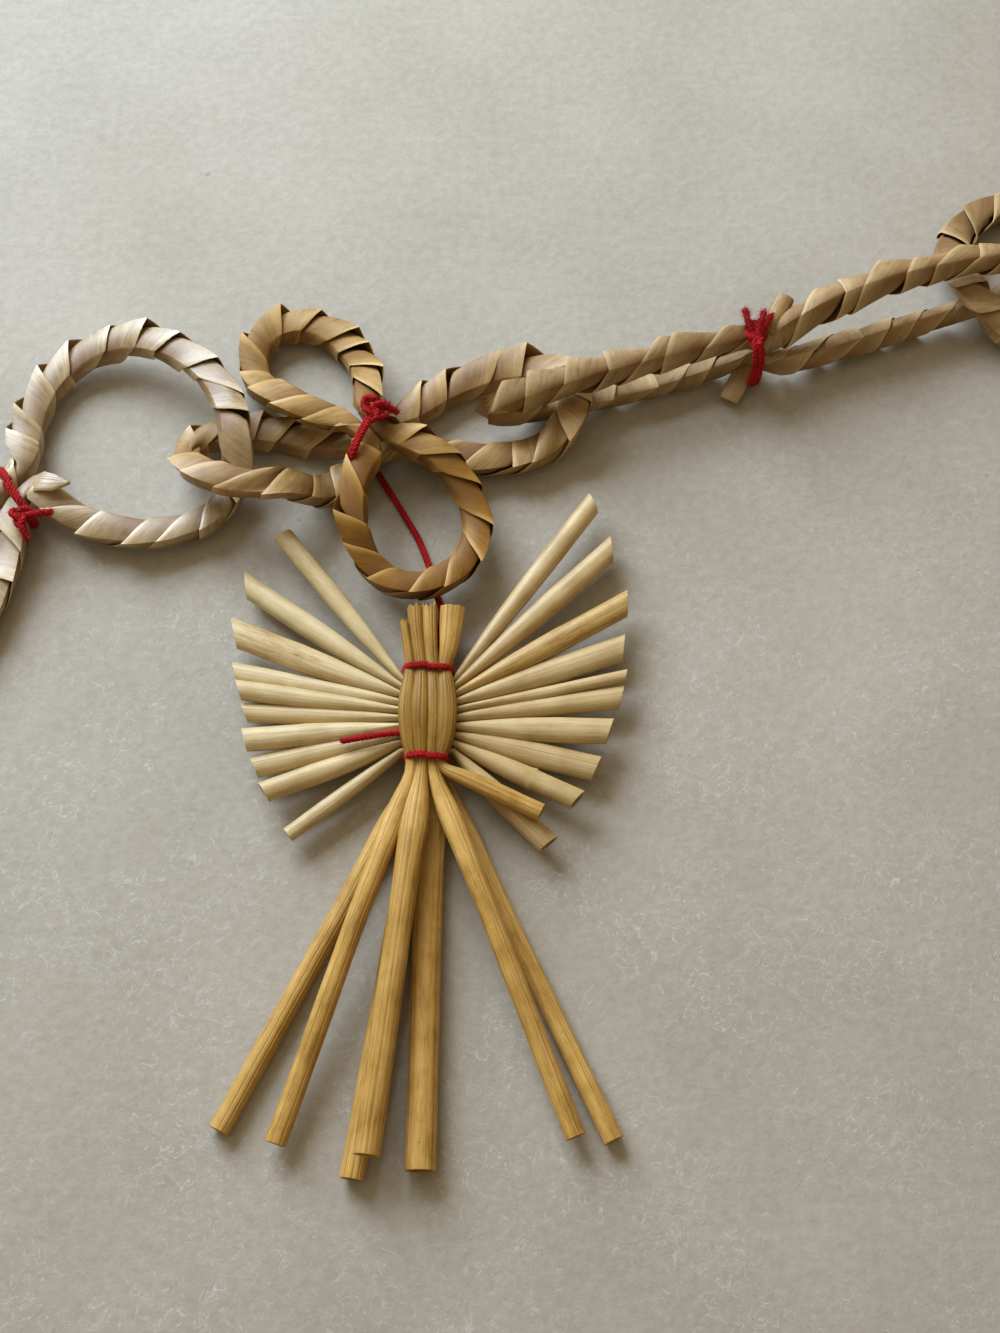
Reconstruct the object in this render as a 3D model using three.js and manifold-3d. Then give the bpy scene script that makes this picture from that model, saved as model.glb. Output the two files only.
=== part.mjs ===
// Straw ornament: a tied straw figure with fanned wings, hanging by a red thread
// from a garland of folded-straw plait loops. It lies on its back on the plane z = 0.
// Millimetres, +Z up, +Y from the feet to the head.
import * as THREE from 'three';
import { mergeVertices } from 'three/addons/utils/BufferGeometryUtils.js';
import Module from 'manifold-3d';

const wasm = await Module();
wasm.setup();

// ---------------------------------------------------------------- driving sizes, mm
const LEG_D = 3.7; // a round leg straw
const STRAW_WALL = 0.45;
const THREAD_D = 1.0; // red thread
const PLAIT_W = 5.3; // plait, across
const PLAIT_H = 4.6; // plait, through its thickness
const FOLD = 4.4; // one fold of the plait
const BODY_Z = 3.5; // middle plane of the figure's body
const NECK_Y = 5.3;
const WAIST_Y = -6.9;
const WINGS = 10;
const SHIFT = [-13.56, -12.59, 0]; // from the layout origin to the middle of the outline

const D2R = Math.PI / 180;
const V = (x, y, z) => new THREE.Vector3(x, y, z);
const X = V(1, 0, 0);
const Z = V(0, 0, 1);
const mix = THREE.MathUtils.lerp;
const step = (a, b, x) => THREE.MathUtils.smoothstep(x, a, b);

// ---------------------------------------------------------------- colours
const COLOUR = {
  leg: 0xc89a5c,
  wing: 0xdccda6,
  plait: 0xb79c74,
  plaitLeft: 0xc0b091,
  plaitGold: 0xb98f55,
  thread: 0x96141c,
};

// ---------------------------------------------------------------- surfaces
// A section: points round a centre, counter-clockwise seen against the direction of travel.
function ring(c, side, up, a, b, n, shape = 1) {
  const out = [];
  for (let i = 0; i < n; i++) {
    const f = (2 * Math.PI * (i + 0.5)) / n;
    const cx = Math.cos(f);
    const cy = Math.sin(f);
    const x = Math.sign(cx) * Math.abs(cx) ** shape * a;
    const y = Math.sign(cy) * Math.abs(cy) ** shape * b;
    out.push(c.clone().addScaledVector(side, x).addScaledVector(up, y));
  }
  return out;
}

// Side and up directions for a line that runs along t, with its up side towards ref.
function frame(t, ref) {
  const up = ref.clone().addScaledVector(t, -ref.dot(t)).normalize();
  return { side: up.clone().cross(t).normalize(), up };
}

function geometryOf(points, faces) {
  const g = new THREE.BufferGeometry();
  g.setAttribute('position', new THREE.Float32BufferAttribute(points.flatMap((p) => [p.x, p.y, p.z]), 3));
  g.setIndex(faces.flat());
  g.computeVertexNormals();
  return g;
}

// Skin over a row of sections. An end is closed flat, or cut back into a blind bore.
function skin(rings, { closed = false, bores = [null, null] } = {}) {
  const n = rings[0].length;
  const points = rings.flat();
  const faces = [];
  const quad = (a, b, c, d) => faces.push([a, b, c], [a, c, d]);
  const spans = closed ? rings.length : rings.length - 1;
  for (let j = 0; j < spans; j++) {
    const k = (j + 1) % rings.length;
    for (let i = 0; i < n; i++) {
      const m = (i + 1) % n;
      quad(j * n + i, j * n + m, k * n + m, k * n + i);
    }
  }
  if (closed) return geometryOf(points, faces);
  const middle = (r) => r.reduce((s, p) => s.add(p), V(0, 0, 0)).multiplyScalar(1 / n);
  [0, rings.length - 1].forEach((j, e) => {
    const flip = (...f) => faces.push(e === 0 ? f.reverse() : f);
    let rim = j * n;
    let centre = middle(rings[j]);
    if (bores[e]) {
      const { depth, wall } = bores[e];
      const inward = middle(rings[e === 0 ? 1 : j - 1]).sub(centre).normalize();
      const inner = rings[j].map((p) => p.clone().sub(centre).multiplyScalar(1 - wall / p.distanceTo(centre)).add(centre));
      const lip = points.length;
      points.push(...inner, ...inner.map((p) => p.clone().addScaledVector(inward, depth)));
      for (let i = 0; i < n; i++) {
        const m = (i + 1) % n;
        flip(rim + i, rim + m, lip + m);
        flip(rim + i, lip + m, lip + i);
        flip(lip + i, lip + m, lip + n + m);
        flip(lip + i, lip + n + m, lip + n + i);
      }
      rim = lip + n;
      centre = centre.clone().addScaledVector(inward, depth);
    }
    const hub = points.length;
    points.push(centre);
    for (let i = 0; i < n; i++) flip(hub, rim + i, rim + ((i + 1) % n));
  });
  return geometryOf(points, faces);
}

// ---------------------------------------------------------------- joining
function solid(g) {
  const plain = new THREE.BufferGeometry();
  plain.setAttribute('position', g.getAttribute('position').clone());
  if (g.index) plain.setIndex(g.index.clone());
  const m = mergeVertices(plain, 1e-5);
  return new wasm.Manifold(
    new wasm.Mesh({
      numProp: 3,
      vertProperties: new Float32Array(m.getAttribute('position').array),
      triVerts: new Uint32Array(m.index.array),
    }),
  );
}

function join(...parts) {
  let all = solid(parts[0]);
  for (const p of parts.slice(1)) all = all.add(solid(p));
  return bare(all);
}

// A piece pressed in by the ones that bind it.
function pressed(piece, ...tools) {
  let left = solid(piece);
  for (const t of tools) left = left.subtract(solid(t));
  return bare(left);
}

function bare(all) {
  const mesh = all.getMesh();
  const g = new THREE.BufferGeometry();
  g.setAttribute('position', new THREE.Float32BufferAttribute(mesh.vertProperties, 3));
  g.setIndex(Array.from(mesh.triVerts));
  g.computeVertexNormals();
  return g;
}

// ---------------------------------------------------------------- object
const ornament = new THREE.Group();
ornament.position.set(...SHIFT);

function add(name, geometry, colour, roughness = 0.6) {
  const mesh = new THREE.Mesh(geometry, new THREE.MeshStandardMaterial({ color: colour, roughness, metalness: 0 }));
  mesh.name = name;
  ornament.add(mesh);
}

// ---------------------------------------------------------------- figure: half the gap between the two body layers
function halfGap(y) {
  const middle = (NECK_Y + WAIST_Y) / 2;
  const r = (y - middle) / 7.0;
  return 0.3 + 1.45 * Math.sqrt(Math.max(0, 1 - r * r));
}

// ---------------------------------------------------------------- wing straws
// left tip x, y, width, slant of the cut; then the same on the right
const WING_TIPS = [
  [-19.8, 25.2, 2.6, 0.1, 21.8, 30.1, 2.7, 0.6],
  [-24.5, 18.3, 3.0, -0.9, 24.2, 23.6, 3.1, 0.8],
  [-25.5, 10.9, 3.7, -0.7, 26.0, 15.2, 3.2, 0.6],
  [-25.2, 5.6, 2.9, -0.5, 25.4, 9.2, 3.5, 0.5],
  [-24.5, 2.9, 2.6, -0.5, 25.6, 4.9, 1.6, 0.4],
  [-23.7, 0.1, 2.5, -0.5, 25.0, 2.3, 3.3, 0.4],
  [-23.3, -4.0, 3.1, -0.2, 23.3, -2.8, 3.4, 0.3],
  [-22.0, -7.3, 2.9, -0.2, 21.5, -7.5, 3.4, 0.2],
  [-20.5, -11.0, 2.8, -0.2, 19.0, -12.0, 2.8, 0.3],
  [-17.3, -16.3, 2.0, 0.0, 15.3, -17.5, 2.9, 0.1],
];
const WING_ROOT_X = 3.3;
const wingRootY = (i) => mix(NECK_Y - 1.1, WAIST_Y + 1.35, i / (WINGS - 1));

// The line of straw i on one side, from the body (f = 0) to the tip (f = 1).
function wingPoint(i, sign, f) {
  const [x, y] = WING_TIPS[i].slice(sign < 0 ? 0 : 4);
  return V(mix(sign * WING_ROOT_X, x, f), mix(wingRootY(i), y, f), mix(BODY_Z, 3.2 + (i % 2 ? -0.5 : 0.5), f));
}

// A wing straw widens towards its tip, as far as its neighbours leave room.
function wingHalfWidth(i, sign, f) {
  const tip = WING_TIPS[i][sign < 0 ? 2 : 6] / 2;
  const run = wingPoint(i, sign, 1).sub(wingPoint(i, sign, 0)).setZ(0).normalize();
  let room = mix(0.3, tip, f ** 0.55);
  for (const k of [i - 1, i + 1]) {
    if (k < 0 || k >= WINGS) continue;
    const toward = wingPoint(k, sign, 0).lerp(wingPoint(k, sign, 1), f).sub(wingPoint(i, sign, f)).setZ(0);
    const apart = Math.abs(toward.x * run.y - toward.y * run.x);
    room = Math.min(room, apart / 2 - 0.09);
  }
  return room;
}

function wingStraw(i) {
  const y0 = wingRootY(i);
  const middle = (NECK_Y + WAIST_Y) / 2;
  const rootHalfHeight = halfGap(y0 + Math.sign(y0 - middle) * 0.45) - 0.3;
  const wing = (sign) => {
    const dir = wingPoint(i, sign, 1).sub(wingPoint(i, sign, 0)).normalize().multiplyScalar(sign);
    return [1, 0.5, 0.16, 0].map((f) => {
      const a = wingHalfWidth(i, sign, f);
      return { p: wingPoint(i, sign, f), a, b: mix(rootHalfHeight, Math.min(WING_TIPS[i][sign < 0 ? 2 : 6] / 2, 1.3), step(0, 0.5, f)), dir, f, cut: f === 1 ? WING_TIPS[i][sign < 0 ? 3 : 7] : 0 };
    });
  };
  const rings = [...wing(-1), ...wing(1).reverse()].map((s) => {
    const dir = s.f < 0.05 ? s.dir.clone().add(V(1, 0, 0)).normalize() : s.dir;
    const { side, up } = frame(dir, V(0, 0, 1));
    side.addScaledVector(dir, s.cut);
    return ring(s.p, side, up, s.a, s.b, 8, 0.9);
  });
  const mouth = { depth: 3, wall: 0.42 };
  return skin(rings, { bores: [mouth, mouth] });
}

for (let i = 0; i < WINGS; i++) add(`wing_straw_${i + 1}`, wingStraw(i), COLOUR.wing);

// ---------------------------------------------------------------- body straws, head stub to leg end
// column -1.5 to 1.5; head x, y, half width; tip x, y, z; where along the leg it is round; tip diameter
const BODY_STRAWS = {
  tail_straw_front_1: { layer: 1, column: -1.5, head: [-3.15, 11.2, 0.45], tip: [-17.0, -53.7, 2.2], round: 0.3, lift: 0.9, d: 2.6 },
  tail_straw_front_2: { layer: 1, column: -0.5, head: [-1.85, 13.7, 0.92], tip: [-6.1, -55.3, 4.9], round: 0.25, lift: 1.1, d: 3.2 },
  tail_straw_front_3: { layer: 1, column: 0.5, head: [0.1, 13.7, 0.95], tip: [18.1, -52.9, 2.2], round: 0.25, lift: 0.9, d: 2.5 },
  tail_straw_front_4: { layer: 1, column: 1.5, head: [3.0, 13.7, 1.25], tip: [14.4, -14.2, 5.3], round: 0.6, lift: 0.8, d: 2.3 },
  tail_straw_back_1: { layer: -1, column: -1.5, head: [-2.6, 12.6, 0.7], tip: [-23.8, -52.1, 1.3], round: 0.3, lift: 0, d: 2.6 },
  tail_straw_back_2: { layer: -1, column: -0.5, head: [-0.9, 12.9, 0.7], tip: [-8.0, -57.6, 1.5], round: 0.45, lift: 0, d: 2.9 },
  tail_straw_back_3: { layer: -1, column: 0.5, head: [0.8, 12.7, 0.7], tip: [0.0, -56.7, 1.85], round: 0.5, lift: 0, d: 3.7 },
  tail_straw_back_4: { layer: -1, column: 1.5, head: [2.5, 12.9, 0.7], tip: [22.6, -53.2, 1.25], round: 0.3, lift: 0, d: 2.5 },
};
const NECK_PITCH = 1.24;
const BARREL_PITCH = 1.82;
const WAIST_PITCH = 1.16;

function bodyStraw({ layer, column, head, tip, round, lift, d = LEG_D }) {
  const stations = [];
  const put = (x, y, a, thick, z = BODY_Z + layer * (halfGap(y) + thick / 2)) => stations.push({ p: V(x, y, z), a, b: thick / 2 });
  const neck = NECK_PITCH / 2 - 0.1;
  const barrel = BARREL_PITCH / 2 - 0.1;
  const waist = WAIST_PITCH / 2 - 0.1;
  put(head[0], head[1], head[2], layer > 0 ? 1.9 : 1.7, layer > 0 ? 5.3 : 1.5);
  put(mix(column * NECK_PITCH, head[0], 0.6), NECK_Y + 2.4, mix(neck, head[2], 0.45), 1.75, BODY_Z + layer * 1.6);
  put(column * NECK_PITCH, NECK_Y, neck, 1.6, BODY_Z + layer * 1.15);
  for (const f of [0.2, 0.5, 0.8]) {
    const y = mix(NECK_Y, WAIST_Y, f);
    const swell = Math.sin(Math.PI * f) ** 0.6;
    put(column * mix(NECK_PITCH, BARREL_PITCH, swell), y, mix(neck, barrel, swell), mix(1.45, 1.1, swell));
  }
  put(column * WAIST_PITCH, WAIST_Y, waist, 1.75, BODY_Z + layer * 1.2);
  const from = V(column * WAIST_PITCH, WAIST_Y - 1.2, 0);
  for (const f of layer < 0 ? [0.05, round * 0.5, round, 1] : [0.05, round * 0.5, round, 0.6, 1]) {
    const grown = step(0, 1, f / round);
    const x = mix(from.x, tip[0], f);
    const y = mix(from.y, tip[1], f);
    const thick = mix(1.8, d - 0.1, Math.min(1, grown));
    const back = mix(BODY_Z - 1.25, tip[2], Math.min(1, f * 3));
    const front = mix(BODY_Z + 1.25 + lift * step(0, 0.2, f), tip[2], step(0.35, 1, f));
    const z = layer < 0 ? back : front;
    put(x, y, mix(waist, d / 2, grown), thick, z);
  }
  const rings = stations.map((s, j) => {
    const a = stations[Math.max(0, j - 1)].p;
    const b = stations[Math.min(stations.length - 1, j + 1)].p;
    const t = b.clone().sub(a).normalize();
    const { side, up } = frame(t, V(0, 0, 1));
    return ring(s.p, side, up, s.a, s.b, 8, 0.95);
  });
  return skin(rings, { bores: [null, { depth: Math.min(20, tip[1] < -30 ? 20 : 4), wall: STRAW_WALL }] });
}

for (const [name, s] of Object.entries(BODY_STRAWS)) add(name, bodyStraw(s), COLOUR.leg);

// ---------------------------------------------------------------- thread
// A closed turn of thread round a flattened oval in the plane of u and v.
function band(c, u, v, a, b, thick, wide, squareness = 0.7, steps = 12) {
  const rings = [];
  for (let j = 0; j < steps; j++) {
    const f = (2 * Math.PI * j) / steps;
    const at = (g) => {
      const x = Math.cos(g);
      const y = Math.sin(g);
      return c.clone().addScaledVector(u, Math.sign(x) * Math.abs(x) ** squareness * a).addScaledVector(v, Math.sign(y) * Math.abs(y) ** squareness * b);
    };
    const t = at(f + 0.05).sub(at(f - 0.05)).normalize();
    const { side, up } = frame(t, u.clone().cross(v));
    rings.push(ring(at(f), side, up, thick / 2, wide / 2, 6));
  }
  return skin(rings, { closed: true });
}

// A piece of thread through a few places, tapered to its cut end.
function strand(places, d, steps, taper = 1, n = 5) {
  const curve = new THREE.CatmullRomCurve3(places, false, 'centripetal');
  const rings = [];
  for (let j = 0; j <= steps; j++) {
    const f = j / steps;
    const { side, up } = frame(curve.getTangentAt(f), V(0.13, 0.21, 0.97));
    const r = (d / 2) * mix(1, taper, f);
    rings.push(ring(curve.getPointAt(f), side, up, r, r, n));
  }
  return skin(rings);
}

function knot(c, r) {
  const g = new THREE.IcosahedronGeometry(r, 0);
  g.deleteAttribute('uv');
  g.deleteAttribute('normal');
  g.translate(c.x, c.y, c.z);
  return mergeVertices(g, 1e-4);
}

add('neck_tie', band(V(0, NECK_Y, BODY_Z), Z, X, 2.75, 3.05, 0.55, 1.05, 0.5), COLOUR.thread, 0.9);
add(
  'waist_tie',
  join(
    band(V(0, WAIST_Y, BODY_Z), Z, X, 2.85, 2.85, 0.55, 1.0, 0.5),
    strand([V(-2.75, WAIST_Y + 0.1, 5.1), V(-3.9, -5.4, 5.5), V(-4.6, -3.9, 6.0), V(-7.6, -4.3, 5.9), V(-10.9, -5.0, 5.6)], 0.95, 10, 0.8),
  ),
  COLOUR.thread,
  0.9,
);

// ---------------------------------------------------------------- plait
// A lobe of plait: out from its tie along a heading, round, and back beside itself.
// tilt turns its plane about the heading: 0 lies flat and 90 stands on edge.
function lobe({ root, heading, reach, width, pinch, bend = 0, gap = 1.5, tilt = 0, flip = 1, z, press = () => 1, flatten = () => 1, slim = 1 }) {
  const h = heading * D2R;
  const along = V(Math.cos(h), Math.sin(h), 0);
  const left = V(-Math.sin(h), Math.cos(h), 0);
  const across = left.clone().multiplyScalar(Math.cos(tilt * D2R)).addScaledVector(Z, Math.sin(tilt * D2R));
  const ref = tilt ? along.clone().cross(across).multiplyScalar(tilt === 90 ? 1 : -1) : Z;
  return (t) => {
    const a = 2 * Math.PI * t;
    const out = (1 - Math.cos(a)) / 2;
    const sway = (width / 2) * Math.sin(a) * Math.sin(Math.PI * t) ** pinch + gap * (1 - 2 * t) * (1 - out);
    const p = V(root[0], root[1], 0).addScaledVector(along, out * reach).addScaledVector(across, flip * sway);
    p.addScaledVector(left, bend * out * out);
    p.z += z(t, p);
    const room = out < 0.5 ? (Math.abs(sway) - 0.1) / (PLAIT_W / 2) / 1.06 : 1;
    const near = 1 - step(0, 6, out * reach);
    const w = Math.max(0.4, Math.min(slim, room)) * press(t);
    return { p, ref, w, h: mix(1, 0.78, near) * press(t), thin: flatten(t, p) };
  };
}

// A closed plait through one or two lobes, folded every FOLD mm.
function plait(lobes, { turnRef = 0, spare = 0 } = {}) {
  const fine = [];
  const per = 160;
  lobes.forEach((l, k) => {
    for (let j = 0; j < per; j++) fine.push({ ...l(lobes.length === 1 ? j / per : (j + 0.5) / per), lobe: k });
  });
  const count = fine.length;
  const smoothRef = fine.map((_, i) => {
    const sum = V(0, 0, 0);
    for (let d = -turnRef; d <= turnRef; d++) sum.add(fine[(i + d + count) % count].ref);
    return sum.normalize();
  });
  const length = [0];
  for (let i = 0; i < count; i++) length.push(length[i] + fine[i].p.distanceTo(fine[(i + 1) % count].p));
  const total = length[count];
  const at = (s) => {
    const q = ((s % total) + total) % total;
    let i = 0;
    while (length[i + 1] < q) i++;
    const f = (q - length[i]) / (length[i + 1] - length[i]);
    const a = fine[i];
    const b = fine[(i + 1) % count];
    return {
      p: a.p.clone().lerp(b.p, f),
      ref: smoothRef[i].clone().lerp(smoothRef[(i + 1) % count], f).normalize(),
      w: mix(a.w, b.w, f),
      h: mix(a.h, b.h, f),
      thin: mix(a.thin, b.thin, f),
    };
  };
  const folds = Math.round(total / FOLD);
  const pitch = total / folds;
  const rings = [];
  for (let k = 0; k < folds; k++) {
    for (const [f, grow] of [[0.06, 0.9], [0.86, 1.05]]) {
      const s = (k + f) * pitch;
      const here = at(s);
      const t = at(s + 1.2).p.sub(at(s - 1.2).p).normalize();
      const { side, up } = frame(t, here.ref);
      const a = (PLAIT_W / 2) * here.w * grow + spare;
      const b = (PLAIT_H / 2) * here.h * here.thin + spare;
      rings.push(plaitSection(here.p, side, up, a, b, grow));
    }
  }
  return skin(rings, { closed: true });
}

// Six-sided section with a flat back: the folds step out at the sides and the front only.
function plaitSection(c, side, up, a, b, grow) {
  const outline = [
    [1, 0.05], [0.58, grow], [-0.58, grow], [-1, 0.05], [-0.66, -1], [0.66, -1],
  ];
  return outline.map(([x, y]) => c.clone().addScaledVector(side, x * a).addScaledVector(up, y * b));
}

const LOW = PLAIT_H / 2; // a strand that lies on the ground
const OVER = 7.6; // a strand that lies on another one
const dip = (t, at, spread) => Math.exp(-(((t - at) / spread) ** 2));

// how far a strand is lifted between two places along Y
const between = (y, low, high, soft) => step(low - soft, low, y) * (1 - step(high, high + soft, y));
const KNOT = [-8.2, 39.2];
const LEFT_TIE = [-56.0, 32.7];
const RIGHT_TIE = [45.8, 53.4];
// a tie: where, its middle height, the way it faces, half its length and height, and its frayed tails
const TIES = {
  left: { at: LEFT_TIE, z: 3.3, heading: 137, a: 4.0, b: 2.7, tails: [[5.6, -2.2, 0.5, 1.0], [2.6, -6.0, -0.6, 1.0], [-1.5, 1.8, 0.3, 1.2]] },
  rosette: { at: KNOT, z: 5.3, heading: 68, a: 5.0, b: 4.7, tails: [[2.6, 1.6, 0.5, 1.5], [-1.2, 2.4, 0.6, 1.4], [0.9, 2.9, 0.4, 1.2]] },
  right: { at: RIGHT_TIE, z: 5.6, heading: 105, a: 3.1, b: 4.7, tails: [[-2.2, 4.2, 0.8, 1.4], [2.2, 4.0, 0.9, 1.4], [0.3, 4.8, 0.6, 1.2]] },
};
// a strand is lifted a little where a tie passes under it
const atTie = (p, tie) => LOW + 1.15 * (1 - step(3.5, 10, Math.hypot(p.x - tie[0], p.y - tie[1])));

// A loose end of one flat straw, through a few places, cut to its last width.
function looseEnd(places, widths, thick) {
  const rings = places.map((p, j) => {
    const t = places[Math.min(places.length - 1, j + 1)].clone().sub(places[Math.max(0, j - 1)]).normalize();
    const { side, up } = frame(t, Z);
    return ring(p, side, up, widths[j] / 2, thick / 2, 6);
  });
  return skin(rings);
}

const LOBES = {
  // the big ring, and the end loop past its tie
  left: [
    lobe({
      root: [-54.6, 34.6], heading: 27.5, reach: 28, width: 34, pinch: 0.33, bend: -3.1,
      z: (t, p) => atTie(p, LEFT_TIE) + 5.2 * step(0.18, 0.5, t) * step(32.6, 39.0, p.y),
      press: (t) => 1 - 0.16 * dip(t, 0.65, 0.06),
    }),
    lobe({ root: [-57.3, 30.9], heading: 240.5, reach: 25.5, width: 15, pinch: 0.9, bend: 1.5, z: (t, p) => atTie(p, LEFT_TIE) }),
  ],
  // the rosette: two double loops, crossed and tied
  cross: [
    lobe({
      root: [-10.0, 37.4], heading: 190, reach: 24, width: 14, pinch: 0.8, bend: -3.4,
      z: (t, p) => atTie(p, KNOT) + 6.1 * step(0.15, 0.25, t) * (1 - step(0.36, 0.6, t)),
      press: (t) => 1 - 0.16 * dip(t, 0.3, 0.08) - 0.16 * dip(t, 0.68, 0.08),
    }),
    lobe({
      root: [-5.0, 41.2], heading: 14.5, reach: 25, width: 17.3, pinch: 0.9, bend: -0.5,
      z: (t, p) => atTie(p, KNOT) + 3.35 * step(0.3, 0.4, t) * (1 - step(0.6, 0.7, t)) * between(p.y, 42.6, 49.2, 3.2),
      flatten: (t, p) => 1 - 0.62 * step(0.3, 0.4, t) * (1 - step(0.6, 0.7, t)) * between(p.y, 42.4, 49.4, 2.4),
    }),
  ],
  upright: [
    lobe({
      root: [-10.3, 41.4], heading: 125, reach: 21, width: 16, pinch: 0.68, bend: 0.8, slim: 0.95,
      z: (t) => mix(OVER, LOW, step(0.18, 0.36, t) * (1 - step(0.7, 0.9, t))),
    }),
    lobe({
      root: [-6.2, 37.2], heading: -67.6, reach: 20.2, width: 18.3, pinch: 0.5, bend: -0.7, slim: 0.9,
      z: (t) => mix(OVER, LOW + 1.6, step(0.12, 0.32, t) * (1 - step(0.62, 0.82, t))),
    }),
  ],
  // a link on edge round the petal's end, and a tilted one round the end ring
  right: [
    lobe({
      root: [44.2, 53.8], heading: 199, reach: 37.6, width: 6.8, pinch: 0.2, bend: -1.6, tilt: 90, gap: 1.95, slim: 0.82,
      z: (t) => 5.66 + 0.5 * Math.sin(Math.PI * t),
    }),
    lobe({
      root: [47.5, 53.0], heading: 26, reach: 41, width: 8.8, pinch: 0.4, bend: -5.6, tilt: 62, flip: -1, gap: 1.95, slim: 0.8,
      z: (t) => 5.66 + 1.1 * Math.sin(Math.PI * t),
      press: (t) => 1 - 0.2 * dip(t, 0.31, 0.07) - 0.2 * dip(t, 0.69, 0.07),
    }),
  ],
};
const END_RING = [86.2, 68.6];
const endRing = (t) => {
  const a = 2 * Math.PI * t;
  const over = Math.min(1, 1.3 * dip(t, 0.57, 0.09));
  const p = V(END_RING[0] + 12.2 * Math.cos(a), END_RING[1] + 11.8 * Math.sin(a), LOW + 4.1 * over);
  return { p, ref: Z, w: 1, h: 1, thin: 1 - 0.6 * over };
};

const leaf = looseEnd([V(-54.6, 33.4, 3.8), V(-52.6, 32.6, 5.3), V(-50.8, 32.2, 5.6), V(-49.2, 32.2, 5.5)], [1.6, 2.0, 1.7, 0.3], 0.7);
const flatTail = looseEnd([V(43.9, 53.6, 3.0), V(43.2, 51.4, 2.3), V(41.3, 47.8, 1.2)], [2.4, 2.6, 2.6], 0.7);
const cutEnd = looseEnd([V(47.3, 54.0, 6.4), V(49.4, 60.2, 5.7)], [2.4, 3.0], 2.2);

add('left_double_loop', pressed(join(plait(LOBES.left), leaf), tieBand(TIES.left, 0.6)), COLOUR.plaitLeft);
add(
  'rosette_cross_loop',
  pressed(plait(LOBES.cross), tieBand(TIES.rosette, 0.6), plait(LOBES.right, { turnRef: 10, spare: 0.25 })),
  COLOUR.plait,
);
add('rosette_upright_loop', pressed(plait(LOBES.upright), tieBand(TIES.rosette, 0.6)), COLOUR.plaitGold);
add(
  'right_double_loop',
  pressed(
    join(plait(LOBES.right, { turnRef: 10 }), flatTail, cutEnd),
    tieBand(TIES.right, 0.6),
    plait([endRing], { spare: 0.25 }),
  ),
  COLOUR.plait,
);
add('end_ring', plait([endRing]), COLOUR.plait);

// ---------------------------------------------------------------- garland ties
function tieBand({ at, z, heading, a, b }, spare = 0) {
  const u = V(Math.cos(heading * D2R), Math.sin(heading * D2R), 0);
  return band(V(at[0], at[1], z), Z, u, b, a, THREAD_D + spare, THREAD_D * 1.3 + spare);
}

function tied(tie) {
  const top = V(tie.at[0], tie.at[1], tie.z + tie.b);
  const parts = [tieBand(tie), knot(top.clone().add(V(0.3, 0.4, 0.3)), 1.2)];
  const tails = tie.tails;
  for (const [dx, dy, dz, d] of tails) {
    parts.push(strand([top, top.clone().add(V(dx * 0.5, dy * 0.5, dz * 0.5 + 0.7)), top.clone().add(V(dx, dy, dz))], d, 5, 0.6));
  }
  return join(...parts);
}
add('rosette_tie', tied(TIES.rosette), COLOUR.thread, 0.95);
add('left_tie', tied(TIES.left), COLOUR.thread, 0.95);
add('right_tie', tied(TIES.right), COLOUR.thread, 0.95);

// ---------------------------------------------------------------- hanging thread, garland knot to neck
const HANG = [
  V(-7.6, 36.4, 0.75), V(-5.9, 33.5, 0.7), V(-4.4, 30.9, 0.6), V(-3.1, 28.6, 0.6), V(-2.0, 26.6, 0.6), V(-1.2, 24.7, 0.6),
  V(-0.4, 22.4, 0.6), V(0.1, 20.5, 0.6), V(0.6, 18.6, 0.6), V(1.1, 16.8, 0.9), V(1.5, 15.2, 1.9), V(1.6, 13.7, 3.0),
  V(1.5, 11.6, 3.45), V(1.3, 9.4, 3.4), V(1.1, 7.4, 3.4),
];
add('hanging_thread', strand(HANG, THREAD_D * 0.95, 15, 1, 8), COLOUR.thread, 0.9);

export default ornament;
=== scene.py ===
import math

import bmesh
import bpy
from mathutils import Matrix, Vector
import numpy as np


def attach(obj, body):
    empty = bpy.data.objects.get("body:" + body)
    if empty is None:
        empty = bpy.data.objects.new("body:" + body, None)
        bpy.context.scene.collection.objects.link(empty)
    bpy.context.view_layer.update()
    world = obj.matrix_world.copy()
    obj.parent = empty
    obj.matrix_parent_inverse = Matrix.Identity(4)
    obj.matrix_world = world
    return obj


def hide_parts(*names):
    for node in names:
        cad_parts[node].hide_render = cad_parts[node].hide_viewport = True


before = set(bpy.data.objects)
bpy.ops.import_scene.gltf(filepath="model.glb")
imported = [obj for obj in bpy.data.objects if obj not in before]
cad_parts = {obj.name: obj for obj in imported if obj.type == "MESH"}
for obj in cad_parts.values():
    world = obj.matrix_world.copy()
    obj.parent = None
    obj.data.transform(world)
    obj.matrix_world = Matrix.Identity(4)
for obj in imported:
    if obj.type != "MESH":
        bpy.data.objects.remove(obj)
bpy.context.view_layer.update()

MM = 0.001
TURN = 2 * math.pi
SHIFT = np.array([-13.56, -12.59, 0.0])  # from the layout origin to the middle of the outline
SEED = 7

# plaits: the strand's width and height, and how a fold is laid on it
PLAIT_W = 5.3
PLAIT_H = 4.6
STARTS = 2  # straws that are wound round together
LAP = 1.36  # how far a fold reaches under the next, in folds
LIFT = 1.34  # how far the loose edge of a fold stands off
STRAW_THICKNESS = 0.27
UNEVENNESS = 0.60  # how far a fold line strays, in folds
CREASE = 0.16
SHARP_ANGLE = 52.0

# figure: middle height of the body, its two ties and its wings
BODY_Z = 3.5
NECK_Y = 5.3
WAIST_Y = -6.9
WINGS = 10

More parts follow.
